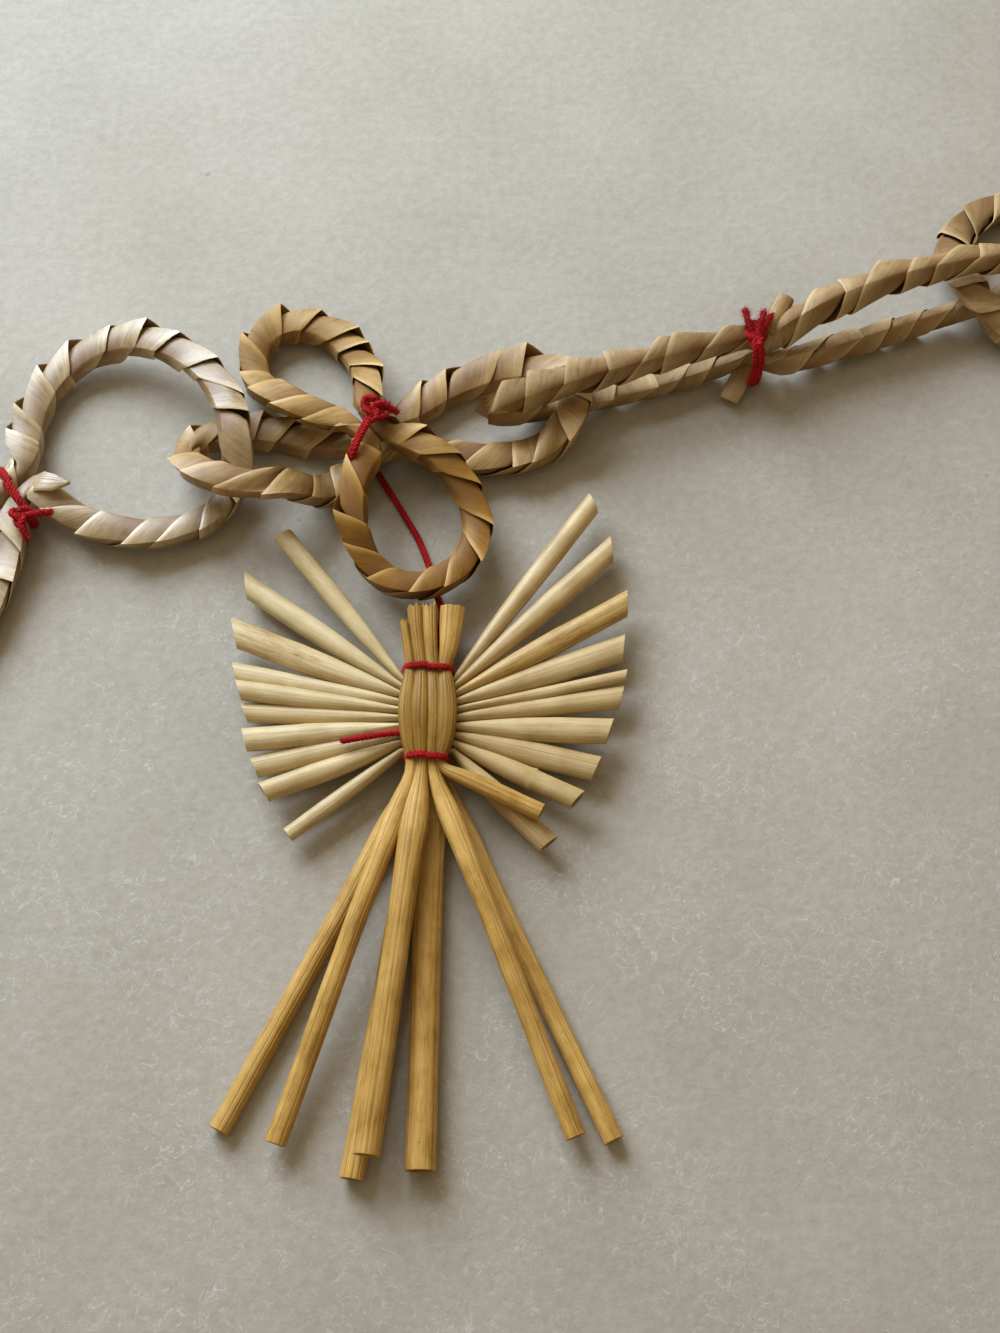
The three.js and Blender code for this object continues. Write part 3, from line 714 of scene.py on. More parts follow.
def straw_tube(
    name, stations, around, ribs, rib_depth, bores, wall, which, seed, flutter,
    ragged=0.0, browning_and_shade=None, shade=1.0,
):
    """A straw through its stations (middle, side, up, half width, half height), with a bore into each bored
    end, and painted shade in its rib grooves and bores that shade scales.
    """
    rng = np.random.default_rng(seed)
    pitch = TURN / ribs
    angle = -math.pi / 2 + TURN * np.arange(around) / around
    edges = np.linspace(0, TURN, ribs, endpoint=False) + rng.uniform(-0.32, 0.32, ribs) * pitch
    strength = rng.uniform(0.15, 1.0, ribs)
    near = np.abs((angle[:, None] - edges[None, :] + math.pi) % TURN - math.pi)
    groove = (np.exp(-((near / (0.20 * pitch)) ** 2)) * strength).max(axis=1)
    cx = np.sign(np.cos(angle)) * np.abs(np.cos(angle)) ** FULLNESS
    sy = np.sign(np.sin(angle)) * np.abs(np.sin(angle)) ** FULLNESS
    points, run = [], []
    travelled = 0.0
    before = stations[0][0]
    for k, (c, side, up, a, b) in enumerate(stations):
        travelled += np.linalg.norm(c - before)
        before = c
        wave = 1 + flutter * np.sin(angle * 2 + k * 0.7 + seed)
        ra = a * wave - rib_depth * groove * min(1.0, a / THIN)
        rb = b * wave - rib_depth * groove * min(1.0, b / THIN)
        points.append(c + np.outer(cx * ra, side) + np.outer(sy * rb, up))
        run.append(travelled)
    into_first = unit(stations[1][0] - stations[0][0])
    into_last = unit(stations[-2][0] - stations[-1][0])
    if bores[0]:
        points.insert(1, points[0] + into_first * LIP)
        run.insert(1, run[0] + LIP)
    if bores[1]:
        points.insert(len(points) - 1, points[-1] + into_last * LIP)
        run.insert(len(run) - 1, run[-1] - LIP)
    if ragged:
        tear = np.convolve(rng.uniform(-1, 1, around + 6), np.ones(7) / 3.5, "valid")
        for j in (0, 1):
            points[j] = points[j] + np.outer(tear * ragged, -into_first)

    def mouth(ring, inward, depth):
        """Rings from the bottom of a bore out to its cut edge."""
        middle = ring.mean(axis=0)
        out = ring - middle
        size = np.linalg.norm(out, axis=1)[:, None]
        inner = middle + out * (1 - wall / np.maximum(size, wall * 1.4))
        return [inner + inward * depth * share for share in BORE_PLACES] + [inner + inward * INNER_LIP, inner]

    # painted shade in the rib grooves, scaled by shade
    rings, shade_per_ring, place = points, [groove * shade] * len(points), run
    if bores[0]:
        rings = mouth(points[0], into_first, bores[0]) + rings
        shade_per_ring = [np.full(around, d) for d in BORE_SHADE] + shade_per_ring
        place = [j - 3.0 for j in range(4)] + place
    if bores[1]:
        rings = rings + mouth(points[-1], into_last, bores[1])[::-1]
        shade_per_ring = shade_per_ring + [np.full(around, d) for d in BORE_SHADE[::-1]]
        place = place + [run[-1] + j for j in range(4)]
    obj = lofted(name, rings, shade_per_ring, place, which)
    if browning_and_shade:
        browned_and_shaded_by_place(obj, browning_and_shade)
    return obj


def lofted(name, rings, shade_per_ring, place, which):
    """A closed skin over rings of equal count, with the straw's own grain stored on it."""
    n = len(rings[0])
    points = np.concatenate(rings + [rings[0].mean(axis=0)[None], rings[-1].mean(axis=0)[None]])
    faces, grain = [], []
    for j in range(len(rings) - 1):
        for i in range(n):
            m = (i + 1) % n
            faces.append((j * n + i, j * n + m, (j + 1) * n + m, (j + 1) * n + i))
            u0, u1 = i / n, (i + 1) / n
            grain += [(place[j], u0, which), (place[j], u1, which)]
            grain += [(place[j + 1], u1, which), (place[j + 1], u0, which)]
    top = len(rings) * n
    last = (len(rings) - 1) * n
    for i in range(n):
        m = (i + 1) % n
        faces.append((top, m, i))
        faces.append((top + 1, last + i, last + m))
        grain += [(place[0], 0.5, which)] * 3 + [(place[-1], 0.5, which)] * 3
    obj = new_object(name, points, faces)
    kept_on(obj, "grain", grain, "FLOAT_VECTOR", "CORNER")
    # painted shade per ring; the middles of the two end caps are painted fully shaded
    kept_on(obj, "painted_shade", np.concatenate(shade_per_ring + [[1.0, 1.0]]))
    faces_outward(obj)
    smooth(obj)
    return obj


# ---- wing straws
# left tip, then right tip: x, y, width, slant of the cut, how far the straw is browned, which on the right
# side also paints in shade
WING_TIPS = [
    ((-19.8, 25.2, 2.6, 0.1, 0.12), (21.8, 30.1, 2.7, 0.6, 0.45)),
    ((-24.5, 18.3, 3.0, -0.9, 0.0), (24.2, 23.6, 3.1, 0.8, 0.45)),
    ((-25.5, 10.9, 3.7, -0.7, 0.12), (26.0, 15.2, 3.2, 0.6, 0.9)),
    ((-25.2, 5.6, 2.9, -0.5, 0.0), (25.4, 9.2, 3.5, 0.5, 0.28)),
    ((-24.5, 2.9, 2.6, -0.5, 0.1), (25.6, 4.9, 1.6, 0.4, 0.42)),
    ((-23.7, 0.1, 2.5, -0.5, 0.25), (25.0, 2.3, 3.3, 0.4, 0.3)),
    ((-23.3, -4.0, 3.1, -0.2, 0.08), (23.3, -2.8, 3.4, 0.3, 0.4)),
    ((-22.0, -7.3, 2.9, -0.2, 0.2), (21.5, -7.5, 3.4, 0.2, 0.38)),
    ((-20.5, -11.0, 2.8, -0.2, 0.3), (19.0, -12.0, 2.8, 0.3, 0.45)),
    ((-17.3, -16.3, 2.0, 0.0, 0.12), (15.3, -17.5, 2.9, 0.1, 0.5)),
]
STRIPED_WING = 2
JOINTED_WING = (8, 1)  # this straw keeps a joint of the stalk on its right side
JOINT_AT = 0.635
WING_ROOT_X = 3.3
# where a wing straw's rings lie, from its tip to the body; closer together at the joint
WING_RINGS = (
    1.0, 0.985, 0.93, 0.84, 0.72, 0.67, 0.65, JOINT_AT, 0.62, 0.60, 0.48, 0.37, 0.27, 0.18, 0.11, 0.05, 0.0,
)


def wing_tip(i, sign):
    return WING_TIPS[i][0 if sign < 0 else 1]


def half_gap(y):
    """Half the room between the front and back straws of the body."""
    r = (y - (NECK_Y + WAIST_Y) / 2) / 7.0
    return 0.3 + 1.45 * math.sqrt(max(0.0, 1 - r * r))


def wing_root_y(i):
    return mix(NECK_Y - 1.1, WAIST_Y + 1.35, i / (WINGS - 1))


def wing_point(i, sign, f):
    x, y = wing_tip(i, sign)[:2]
    rise = 0.5 if i % 2 == 0 else -0.5
    return vec(mix(sign * WING_ROOT_X, x, f), mix(wing_root_y(i), y, f), mix(BODY_Z, 3.2 + rise, f))


def wing_half_width(i, sign, f):
    """A wing straw opens out quickly from the body, and laps a little over its neighbours."""
    run = unit((wing_point(i, sign, 1) - wing_point(i, sign, 0)) * vec(1, 1, 0))
    room = mix(0.42, wing_tip(i, sign)[2] / 2, step(0.0, 0.62, f) ** 0.5)
    for k in (i - 1, i + 1):
        if 0 <= k < WINGS:
            toward = wing_point(k, sign, f) - wing_point(i, sign, f)
            apart = abs(toward[0] * run[1] - toward[1] * run[0])
            room = min(room, apart / 2 + 0.12 + 0.2 * step(0.0, 0.35, f))
    return room * (1 + 0.13 * dip(f, JOINT_AT, 0.012)) if (i, sign) == JOINTED_WING else room


def wing_straw(i):
    y0 = wing_root_y(i)
    middle = (NECK_Y + WAIST_Y) / 2
    root_half = max(0.2, half_gap(y0 + math.copysign(0.45, y0 - middle)) - 0.3)
    stations = []
    for sign, order in ((-1, WING_RINGS), (1, WING_RINGS[::-1])):
        run = unit(wing_point(i, sign, 1) - wing_point(i, sign, 0)) * sign
        width, cut = wing_tip(i, sign)[2:4]
        for f in order:
            a = wing_half_width(i, sign, f)
            b = mix(root_half, min(width / 2 * 0.86, 1.22), step(0, 0.5, f))
            t = unit(run + vec(1, 0, 0)) if f < 0.04 else run
            side, up = across_and_up(t, UP)
            slope = cut * step(0.93, 1.0, f)
            stations.append((wing_point(i, sign, f), side + t * slope, up, a, b))
    return straw_tube(
        f"wing_straw_{i + 1}_stem", stations, around=72, ribs=26, rib_depth=0.022, bores=(4.5, 4.5),
        wall=0.30, which=i * 0.37 + 0.11, seed=SEED + i, flutter=0.012, shade=0.42,
        browning_and_shade=lambda x, y: wing_tip(i, x)[4],
    )


# ---- body straws
# layer, column, head x, y, half width; tip x, y, z; where along the leg it is round; lift; tip diameter
BODY_STRAWS = {
    "tail_straw_front_1": (1, -1.5, (-3.15, 11.6, 0.6), (-17.0, -53.7, 2.2), 0.3, 0.9, 2.6),
    "tail_straw_front_2": (1, -0.5, (-1.85, 13.8, 1.05), (-6.1, -55.3, 4.9), 0.25, 1.1, 3.2),
    "tail_straw_front_3": (1, 0.5, (0.0, 14.0, 1.05), (18.1, -52.9, 2.2), 0.25, 0.9, 2.5),
    "tail_straw_front_4": (1, 1.5, (3.1, 13.9, 1.65), (14.4, -14.2, 5.3), 0.6, 0.8, 2.3),
    "tail_straw_back_1": (-1, -1.5, (-2.6, 12.6, 0.7), (-23.8, -52.1, 1.3), 0.3, 0, 2.6),
    "tail_straw_back_2": (-1, -0.5, (-0.9, 12.9, 0.7), (-8.0, -57.6, 1.5), 0.45, 0, 2.9),
    "tail_straw_back_3": (-1, 0.5, (0.8, 12.7, 0.7), (0.0, -56.7, 1.85), 0.5, 0, 3.7),
    "tail_straw_back_4": (-1, 1.5, (2.5, 12.9, 0.7), (22.6, -53.2, 1.25), 0.3, 0, 2.5),
}
# from one straw's middle to the next, and a straw's half width there
NECK_PITCH, NECK_HALF = 1.24, 0.74
BARREL_PITCH, BARREL_HALF = 1.82, 1.25
WAIST_PITCH, WAIST_HALF = 0.98, 0.63
LEG_RINGS = (0.02, 0.05, 0.09, 0.14, 0.2, 0.28, 0.38, 0.5, 0.62, 0.75, 0.88, 0.97, 1.0)
BARREL_RINGS = (0.1, 0.2, 0.35, 0.5, 0.65, 0.8, 0.9)


def is_leg(tip):
    """All the tail straws but the bent short one at the waist are long legs."""
    return tip[1] < -30


def body_stations(layer, column, head, tip, rounding, lift, d):
    """The straw's middle line and half sizes from its head stub to its leg end."""
    rows = []

    def put(x, y, z, half_width, thick):
        rows.append((vec(x, y, z), half_width, thick / 2))

    head_z = 5.3 if layer > 0 else 1.5
    neck_x = column * NECK_PITCH
    put(head[0], head[1], head_z, head[2], 1.9 if layer > 0 else 1.7)
    flare_y = mix(NECK_Y, head[1], 0.72)
    flare_z = BODY_Z + layer * 1.6
    put(mix(neck_x, head[0], 0.85), flare_y, mix(flare_z, head_z, 0.7), mix(NECK_HALF, head[2], 0.88), 1.85)
    put(mix(neck_x, head[0], 0.6), NECK_Y + 2.4, flare_z, mix(NECK_HALF, head[2], 0.5), 1.75)
    put(neck_x, NECK_Y, BODY_Z + layer * 1.15, NECK_HALF, 1.6)
    for f in BARREL_RINGS:
        y = mix(NECK_Y, WAIST_Y, f)
        swell = math.sin(math.pi * f) ** 0.6
        # every other straw stands a little proud, and the middle two more than the outer two
        proud = (0.24 if column in (-0.5, 1.5) else 0.0) * layer * swell
        high = proud - 0.12 * layer * (abs(column) - 1) * swell
        thick = mix(1.45, 1.15, swell)
        z = BODY_Z + layer * (half_gap(y) + thick / 2) + high
        x = column * mix(NECK_PITCH, BARREL_PITCH - 0.1, swell)
        put(x, y, z, mix(NECK_HALF, BARREL_HALF, swell), thick)
    put(column * WAIST_PITCH, WAIST_Y, BODY_Z + layer * 1.2, WAIST_HALF, 1.75)
    start = vec(column * WAIST_PITCH, WAIST_Y - 1.2, 0)
    full = 0.12 if is_leg(tip) else 0.4
    for f in LEG_RINGS:
        opened = step(0, 1, f / full) if f < full else 1.0
        thick = mix(1.8, d - 0.1, min(1, step(0, 1, f / rounding) if f < rounding else 1))
        low = mix(BODY_Z - 1.25, tip[2], min(1, f * 3))
        high = mix(BODY_Z + 1.25 + lift * step(0, 0.2, f), tip[2], step(0.35, 1, f))
        x, y = mix(start[0], tip[0], f), mix(start[1], tip[1], f)
        half = mix(WAIST_HALF, d / 2 * (1 + 0.22 * dip(f, 0.13, 0.1)), opened * 0.94 + 0.06 * f)
        put(x, y, low if layer < 0 else high, half, thick)
    return rows


def smoothed(rows, steps):
    """The same straw with its turns rounded off."""
    p = np.array([np.concatenate([r[0], [r[1], r[2]]]) for r in rows])
    hop = np.concatenate([[0], np.cumsum(np.linalg.norm(np.diff(p[:, :3], axis=0), axis=1))])
    where = np.linspace(0, hop[-1], steps)
    out = np.array([np.interp(where, hop, p[:, k]) for k in range(5)]).T
    for _ in range(3):
        out[1:-1] = (out[:-2] + 2 * out[1:-1] + out[2:]) / 4
    return out


def body_straw(name, index):
    tip = BODY_STRAWS[name][3]
    rows = smoothed(body_stations(*BODY_STRAWS[name]), 46)
    stations = []
    for j, row in enumerate(rows):
        side, up = across_and_up(direction(rows, j), UP)
        stations.append((row[:3], side, up, row[3], row[4]))
    bore, torn, pale_head = (9.0, 0.5, 0.5) if is_leg(tip) else (4.0, 0.12, 0.95)
    return straw_tube(
        name + "_stem", stations, around=120, ribs=17, rib_depth=0.075, bores=(1.2, bore), wall=0.34,
        which=index * 0.53 + 0.2, seed=SEED + 40 + index, flutter=0.015, ragged=torn, shade=0.72,
        # the neck and barrel are browned, which also paints shade over the barrel; the head is paler
        browning_and_shade=lambda x, y: 0.9 * step(-9.0, -6.0, y) * (1 - pale_head * step(5.0, 8.0, y)),
    )


# ---- thread
def thread_tree():
    """Three strands spun together along a line."""
    tree, rule, given = new_tree(
        "Spun thread",
        {**GEOMETRY, "Float": ("Radius", "Twist length", "Steps per mm"), "Material": ("Thread",)},
        GEOMETRY,
    )
    line = rule.out("GeometryNodeMeshToCurve", [given["Geometry"]])
    spacing = rule.math("DIVIDE", MM, given["Steps per mm"])
    line = rule.out("GeometryNodeResampleCurve", {"Curve": line, "Length": spacing}, mode="LENGTH")
    tangent = rule.out("GeometryNodeInputTangent")
    normal = rule.out("GeometryNodeInputNormal")
    other = rule.vector("CROSS_PRODUCT", tangent, normal)
    turn = rule.out("GeometryNodeSplineParameter", output="Length") / given["Twist length"] * TURN
    size = {"Resolution": 7, "Radius": given["Radius"] * 0.58}
    section = rule.out("GeometryNodeCurvePrimitiveCircle", size, mode="RADIUS")
    together = rule.node("GeometryNodeJoinGeometry")
    for k in range(3):
        angle = turn + k * TURN / 3
        out = normal * rule.math("COSINE", angle) + other * rule.math("SINE", angle)
        offset = out * (given["Radius"] * 0.46)
        strand = rule.out("GeometryNodeSetPosition", {"Geometry": line, "Offset": offset})
        skin = {"Curve": strand, "Profile Curve": section, "Fill Caps": True}
        rule.feed(together.inputs[0], rule.out("GeometryNodeCurveToMesh", skin))
    rule.hand_over_piece(Wire(rule, together.outputs[0]), given["Thread"])
    return tree


def fuzz_tree():
    """Short loose fibres standing off a thread."""
    tree, rule, given = new_tree(
        "Thread fuzz",
        {**GEOMETRY, "Float": ("Fibres per mm2", "Fibre length"), "Int": ("Seed",), "Material": ("Thread",)},
        GEOMETRY,
    )
    density = given["Fibres per mm2"] * (1.0 / MM / MM)
    skin = {"Mesh": given["Geometry"], "Density": density, "Seed": given["Seed"]}
    spots = rule.node("GeometryNodeDistributePointsOnFaces", skin)
    sizes = {"Radius Top": 0.006 * MM, "Radius Bottom": 0.02 * MM, "Depth": given["Fibre length"]}
    hair = rule.out("GeometryNodeMeshCone", {"Vertices": 3, "Side Segments": 3, **sizes}, fill_type="NGON")
    normal = Wire(rule, spots.outputs["Normal"])
    stand = rule.out("FunctionNodeAlignRotationToVector", {"Vector": normal}, axis="Z")
    limits = {0: (-1.1, -1.1, -3.1), 1: (1.1, 1.1, 3.1), "Seed": given["Seed"]}
    lean = rule.out("FunctionNodeRandomValue", limits, data_type="FLOAT_VECTOR")
    turned = rule.out("FunctionNodeRotateRotation", {"Rotation": stand, 1: lean}, rotation_space="LOCAL")
    size = rule.out("FunctionNodeRandomValue", {2: 0.4, 3: 1.3}, 1, data_type="FLOAT")
    points = Wire(rule, spots.outputs["Points"])
    feeds = {"Points": points, "Instance": hair, "Rotation": turned, "Scale": size}
    hairs = rule.out("GeometryNodeRealizeInstances", [rule.out("GeometryNodeInstanceOnPoints", feeds)])
    curl = {"Vector": rule.out("GeometryNodeInputPosition"), "Scale": 1800.0}
    drift = (rule.out("ShaderNodeTexNoise", curl, "Color") - (0.5, 0.5, 0.5)) * (0.25 * MM)
    bent = rule.out("GeometryNodeSetPosition", {"Geometry": hairs, "Offset": drift})
    joined = rule.node("GeometryNodeJoinGeometry")
    rule.feed(joined.inputs[0], bent)
    rule.feed(joined.inputs[0], given["Geometry"])
    rule.hand_over_piece(Wire(rule, joined.outputs[0]), given["Thread"])
    return tree


def curved(points, per_mm=4.0):
    """A smooth line through a few places."""
    p = [np.array(q, float) for q in points]
    p = [2 * p[0] - p[1]] + p + [2 * p[-1] - p[-2]]
    out = []
    for k in range(1, len(p) - 2):
        a, b, c, d = p[k - 1], p[k], p[k + 1], p[k + 2]
        steps = max(2, int(np.linalg.norm(c - b) * per_mm))
        for j in range(steps):
            t = j / steps
            bow = (2 * a - 5 * b + 4 * c - d) * t**2 + (3 * b - a - 3 * c + d) * t**3
            out.append(0.5 * (2 * b + (c - a) * t + bow))
    out.append(p[-2])
    return np.array(out)


def line_object(name, lines):
    """An object of bare edges along one or more open lines."""
    points, edges = [], []
    for line in lines:
        first = len(points)
        points.extend(line)
        edges += [(first + j, first + j + 1) for j in range(len(line) - 1)]
    return new_object(name, np.array(points), edges=edges)


def thread_piece(node, part, thread, lines, radius, twist=1.7, hairs=6.0, hair_length=0.5, seed=3):
    """Thread spun along open lines, with its loose fibres."""
    spun, fuzz, material = thread
    obj = line_object(f"{node}_{part}", lines)
    sizes = {"Radius": radius * MM, "Twist length": twist * MM, "Steps per mm": 5.0, "Thread": material}
    grown(obj, spun, sizes)
    fluff = {"Fibres per mm2": hairs, "Fibre length": hair_length * MM, "Seed": seed, "Thread": material}
    grown(obj, fuzz, fluff)
    smooth(obj)
    place_piece(obj, None, node)


HANG_DIAMETER = 0.95
HANG = [
    (-7.6, 36.4, 0.75), (-5.9, 33.5, 0.7), (-4.4, 30.9, 0.6), (-3.1, 28.6, 0.6), (-2.0, 26.6, 0.6),
    (-1.2, 24.7, 0.6), (-0.4, 22.4, 0.6), (0.1, 20.5, 0.6), (0.6, 18.6, 0.6), (1.1, 16.8, 0.9),
    (1.5, 15.2, 1.9), (1.6, 13.7, 3.0), (1.5, 11.6, 3.45), (1.3, 9.4, 3.4), (1.1, 7.4, 3.4),
]


def hanging_thread(thread):
    spun, _, material = thread
    line = curved(HANG, 1.6)
    obj = line_object("hanging_thread_cord", [line])
    sizes = {"Radius": HANG_DIAMETER / 2 * MM, "Twist length": 1.9 * MM, "Steps per mm": 4.0}
    grown(obj, spun, {**sizes, "Thread": material})
    smooth(obj)
    place_piece(obj, None, "hanging_thread")


def oval(centre, u, v, a, b, squareness, climb, phase=0.0, turns=1.0, count=60):
    """Turns of thread round a flattened oval in the plane of u and v."""
    out = []
    for j in range(int(count * turns) + 1):
        g = TURN * j / count + phase
        x, y = [math.copysign(abs(c) ** squareness, c) for c in (math.cos(g), math.sin(g))]
        out.append(centre + u * x * a + v * y * b + climb * (j / (count * turns) - 0.5))
    return np.array(out)


# middle, turn heading, half sizes, knot, then the tails' places
TIES = {
    "left_tie": (
        (-56.1, 31.0, 3.55), 126, (4.4, 2.7), (-54.5, 26.9, 6.3),
        [
            [(-54.6, 26.9, 6.3), (-52.9, 26.9, 6.7), (-51.6, 27.3, 6.5), (-50.4, 27.4, 6.1)],
            [(-54.5, 26.7, 6.3), (-54.1, 25.2, 6.4), (-53.4, 23.6, 5.9)],
        ],
    ),
    "rosette_tie": (
        (-8.6, 38.3, 5.6), 66, (5.3, 4.75), (-7.7, 40.4, 10.5),
        [
            [(-7.8, 40.4, 10.4), (-9.0, 41.0, 10.7), (-8.7, 42.4, 10.7), (-7.4, 42.2, 10.8)],
            [(-7.8, 40.6, 10.5), (-6.6, 41.5, 10.9), (-5.4, 40.8, 10.7), (-4.4, 40.2, 10.4)],
            [(-7.6, 40.4, 10.5), (-6.9, 39.3, 10.8), (-5.8, 39.7, 10.6)],
        ],
    ),
    "right_tie": (
        (44.4, 52.6, 5.8), 98, (3.1, 4.75), (44.2, 52.2, 10.3),
        [
            [(44.1, 52.2, 10.2), (43.3, 53.8, 10.9), (42.8, 56.3, 11.0)],
            [(44.3, 52.3, 10.2), (44.8, 53.8, 10.8), (45.5, 55.9, 10.9)],
            [(44.4, 52.2, 10.2), (45.4, 53.7, 10.7), (46.5, 55.6, 10.6)],
        ],
    ),
}


def knotted(middle, size, count=72):
    """A thread drawn up into a small knot."""
    out = []
    for j in range(count):
        t = TURN * j / count
        x = math.sin(t) + 2 * math.sin(2 * t)
        y = math.cos(t) - 2 * math.cos(2 * t)
        out.append(vec(middle[0] + x * size, middle[1] + y * size, middle[2] - math.sin(3 * t) * size * 0.8))
    return np.array(out)


def unravelled(line, rng, count=5, spread=0.55):
    """Single strands that come apart over the last stretch of a tail."""
    first = int(len(line) * 0.45)
    end = line[-1] - line[first]
    out = []
    for _ in range(count):
        drift = rng.uniform(-1, 1, 3) * spread * vec(1, 1, 0.5)
        reach = rng.uniform(0.75, 1.08)
        mid = line[first] + end * 0.5 * reach + drift * 0.35
        out.append(curved([line[first], mid, line[first] + end * reach + drift], 6.0))
    return out


def garland_tie(node, thread, times=2.0, climb=0.75):
    """One of the garland's ties: its turns and knot, its tails, and the tails' loose strands."""
    middle, heading, (a, b), knot_at, tails = TIES[node]
    h = math.radians(heading)
    u = vec(math.cos(h), math.sin(h), 0)
    n = vec(-math.sin(h), math.cos(h), 0)
    rng = np.random.default_rng(len(node) * 7 + heading)
    turns = oval(np.array(middle), UP, u, b, a, 0.7, n * climb, phase=0.2, turns=times, count=70)
    again = oval(np.array(middle), UP, u, b + 0.12, a + 0.1, 0.7, n * -0.5, phase=2.2, count=70)
    lines = [turns, again, knotted(knot_at, 0.46)]
    thread_piece(node, "turns", thread, lines, 0.40, hairs=5.0, seed=heading)
    drawn = [curved(tail, 5.0) for tail in tails]
    thread_piece(node, "tails", thread, drawn, 0.42, hairs=16.0, hair_length=0.7, seed=31)
    loose = [strand for line in drawn for strand in unravelled(line, rng)]
    thread_piece(node, "strands", thread, loose, 0.13, twist=0.9, hairs=22.0, hair_length=0.6, seed=47)


# ---- studio
FLOOR_HALF = 1.4  # metres
HAIR_WHITE = (0.66, 0.65, 0.61, 1.0)
FLECK_BROWN = (0.16, 0.12, 0.08, 1.0)


def build_floor():
    """A sheet of pale paper with faint fibres."""
    mesh = bpy.data.meshes.new("table top")
    corners = [(-FLOOR_HALF, -FLOOR_HALF, 0), (FLOOR_HALF, -FLOOR_HALF, 0)]
    corners += [(FLOOR_HALF, FLOOR_HALF, 0), (-FLOOR_HALF, FLOOR_HALF, 0)]
    mesh.from_pydata(corners, [], [(0, 1, 2, 3)])
    floor = bpy.data.objects.new("table_top", mesh)
    bpy.context.collection.objects.link(floor)
    material, rule = new_material("pale paper")
    whole = rule.out("ShaderNodeTexCoord", output="Object")
    cloud = rule.noise(whole, 34.0, 4.0, 0.6)
    pulp = rule.noise(whole, 700.0, 4.0, 0.65)
    colour = rule.ramp(cloud * 0.5 + pulp * 0.5, (0.36, (0.346, 0.312, 0.25)), (0.64, (0.43, 0.392, 0.325)))
    hairs = rule.noise(whole, 330.0, 3.0, 0.55, 1.2)
    hair = rule.spread(rule.math("ABSOLUTE", hairs - 0.5), 0.0, 0.012, 1.0, 0.0)
    patch = rule.spread(rule.noise(whole, 60.0, 2.0, 0.5), 0.38, 0.54, 0.15, 1.0)
    nearer = rule.spread(rule.parts(whole)[1], -0.02, 0.05, 1.0, 0.25)
    colour = rule.blend(hair * (patch * nearer) * 0.45, colour, HAIR_WHITE)
    flecks = rule.noise(whole, 260.0, 2.0, 0.5)
    colour = rule.blend(rule.spread(flecks, 0.765, 0.80, 0.0, 0.5), colour, FLECK_BROWN)
    rule.surface(colour, 0.92, pulp, relief=0.35, depth=0.3, Specular_IOR_Level=0.2)
    mesh.materials.append(material)


def area_light(name, place, aim, power, size, colour):
    data = bpy.data.lights.new(name, "AREA")
    data.shape = "RECTANGLE"
    data.size, data.size_y = size
    data.energy = power
    data.color = colour
    lamp = bpy.data.objects.new(name, data)
    lamp.location = place
    way = np.array(aim, float) - np.array(place, float)
    lamp.rotation_euler = Vector(way).to_track_quat("-Z", "Y").to_euler()
    bpy.context.collection.objects.link(lamp)


def build_light():
    """Daylight from a window at the back left, a little sky beside it, and a warm room. Places in metres."""
    scene = bpy.context.scene
    scene.view_settings.view_transform = "Standard"
    world = bpy.data.worlds.new("room")
    world.use_nodes = True
    back = world.node_tree.nodes["Background"]
    back.inputs["Color"].default_value = (1.0, 0.80, 0.50, 1.0)
    back.inputs["Strength"].default_value = 0.33
    scene.world = world
    area_light("window", (-0.24, 0.36, 0.30), (0, 0.02, 0), 5.15, (0.40, 0.34), (0.78, 0.865, 1.0))
    area_light("sky", (-0.19, 0.21, 0.15), (-0.08, 0.07, 0), 0.27, (0.22, 0.22), (0.16, 0.56, 1.0))
    area_light("ceiling", (-0.15, 0.2, 0.9), (0, 0, 0), 1.0, (0.8, 0.8), (1.0, 0.92, 0.78))


# ---- build
def build_plaits():
    tree = plait_tree()
    pale = straw_material("pale plait straw", PALE, 0.31, gleam=0.66)
    tan = straw_material("tan plait straw", TAN, 0.40)
    gold = straw_material(
        "golden plait straw", GOLD, 0.42, gleam=0.34, brown_and_shade=(0.79, 0.57, 0.13), glint=(1.0, 0.86, 0.62),
    )
    dull = straw_material("dull plait straw", DULL, 0.50)
    plait("left_double_loop", tree, LEFT_LOOP, pale, 1, 5.2)
    plait("rosette_cross_loop", tree, CROSS_LOOP, tan, 2, 5.15)
    plait(
        "rosette_upright_loop", tree, UPRIGHT_LOOP, gold, 3, 4.9,
        browning_and_shade=lambda x, y: 0.8 * (1 - step(32.0, 42.0, y)),
    )
    plait("right_double_loop", tree, RIGHT_LOOP, dull, 4, 5.1, turn_ref=20)
    plait("end_ring", tree, [end_ring], dull, 5, 5.0)
    build_loose_ends(pale, dull, tan)


def loose_end(name, node, material, places, widths, thick, seed, bores=(0, 0)):
    """The end of a plaiting straw that was left standing out of its tie."""
    rows = curved(places, 2.5)
    stations = []
    for j, c in enumerate(rows):
        side, up = across_and_up(direction(rows, j), UP)
        f = j / (len(rows) - 1) * (len(widths) - 1)
        k = min(len(widths) - 2, int(f))
        stations.append((c, side, up, mix(widths[k], widths[k + 1], f - k) / 2, thick / 2))
    obj = straw_tube(
        name, stations, around=64, ribs=18, rib_depth=0.03, bores=bores, wall=0.25, which=seed * 0.41,
        seed=seed, flutter=0.03,
    )
    place_piece(obj, material, node)


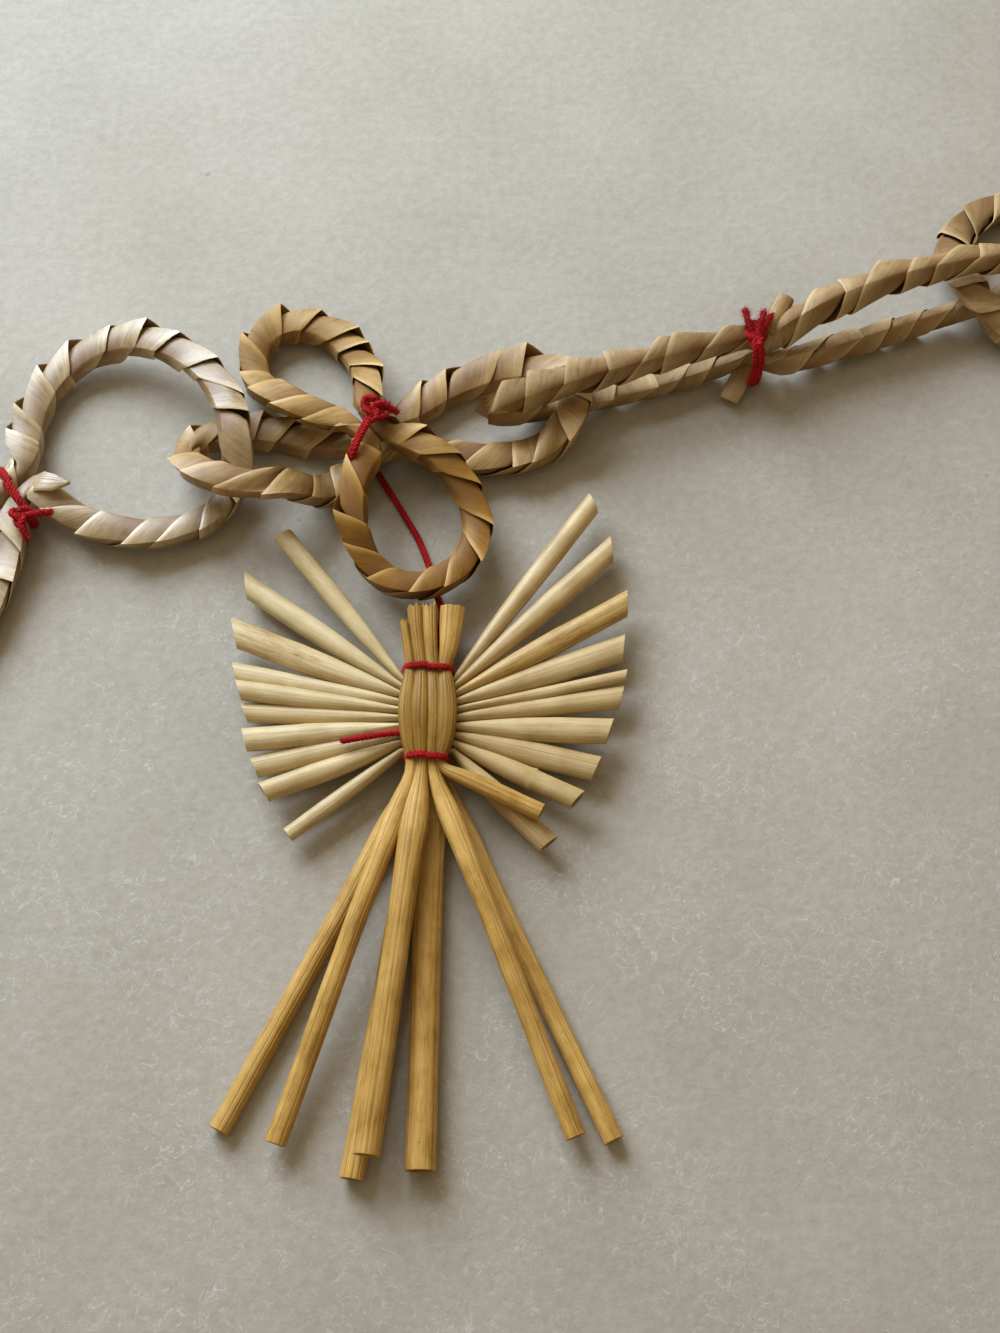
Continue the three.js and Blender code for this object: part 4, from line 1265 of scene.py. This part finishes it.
def build_loose_ends(pale, dull, tan):
    leaf = [(-54.6, 33.4, 3.8), (-52.6, 32.6, 5.3), (-50.8, 32.2, 5.7), (-48.6, 32.2, 5.6)]
    loose_end("left_leaf_end", "left_double_loop", pale, leaf, [1.6, 3.2, 2.7, 0.3], 0.55, 61)
    tail = [(43.9, 53.6, 3.0), (43.2, 51.4, 2.3), (41.3, 47.8, 1.2)]
    loose_end("right_flat_end", "right_double_loop", dull, tail, [2.6, 2.9, 2.8], 0.45, 62)
    cut = [(46.0, 53.8, 8.6), (48.8, 59.4, 9.2)]
    loose_end("right_cut_end", "right_double_loop", tan, cut, [2.2, 2.8], 2.0, 63, (0, 3.0))


def build_figure():
    wing = straw_material("pale wing straw", WING, 0.36, 0.8, brown_and_shade=(0.74, 0.56, 0.33))
    stripe = straw_material("striped wing straw", STRIPED, 0.33, 1.5, brown_and_shade=(0.80, 0.63, 0.32))
    tail = straw_material(
        "golden tail straw", TAIL, 0.40, 1.1, 0.8, gleam=0.36,
        brown_and_shade=(0.46, 0.40, 0.165), glint=(1.0, 0.82, 0.52),
    )
    for i in range(WINGS):
        place_piece(wing_straw(i), stripe if i == STRIPED_WING else wing, f"wing_straw_{i + 1}")
    for index, name in enumerate(BODY_STRAWS):
        place_piece(body_straw(name, index), tail, name)


def build_threads(thread):
    x, y = vec(1, 0, 0), vec(0, 1, 0)
    neck = oval(vec(0, NECK_Y, BODY_Z), UP, x, 2.75, 3.05, 0.5, y * 0.5, turns=2.0)
    waist = oval(vec(0, WAIST_Y, BODY_Z), UP, x, 2.85, 2.5, 0.5, y * 0.5, turns=2.0)
    tail = [
        (-2.3, -6.6, 4.6), (-2.6, -5.0, 4.8), (-3.2, -3.7, 5.2), (-4.6, -3.8, 5.6), (-7.6, -4.3, 5.7),
        (-10.8, -4.8, 5.5),
    ]
    thread_piece("neck_tie", "turns", thread, [neck], 0.30)
    thread_piece("waist_tie", "turns", thread, [waist], 0.33)
    thread_piece("waist_tie", "tail", thread, [curved(tail)], 0.42, hairs=9.0)
    garland_tie("left_tie", thread)
    garland_tie("rosette_tie", thread)
    garland_tie("right_tie", thread, 3.0, 1.4)


set_camera()
red_thread = (thread_tree(), fuzz_tree(), thread_material())
hanging_thread(red_thread)
build_threads(red_thread)
build_plaits()
build_figure()
build_floor()
build_light()
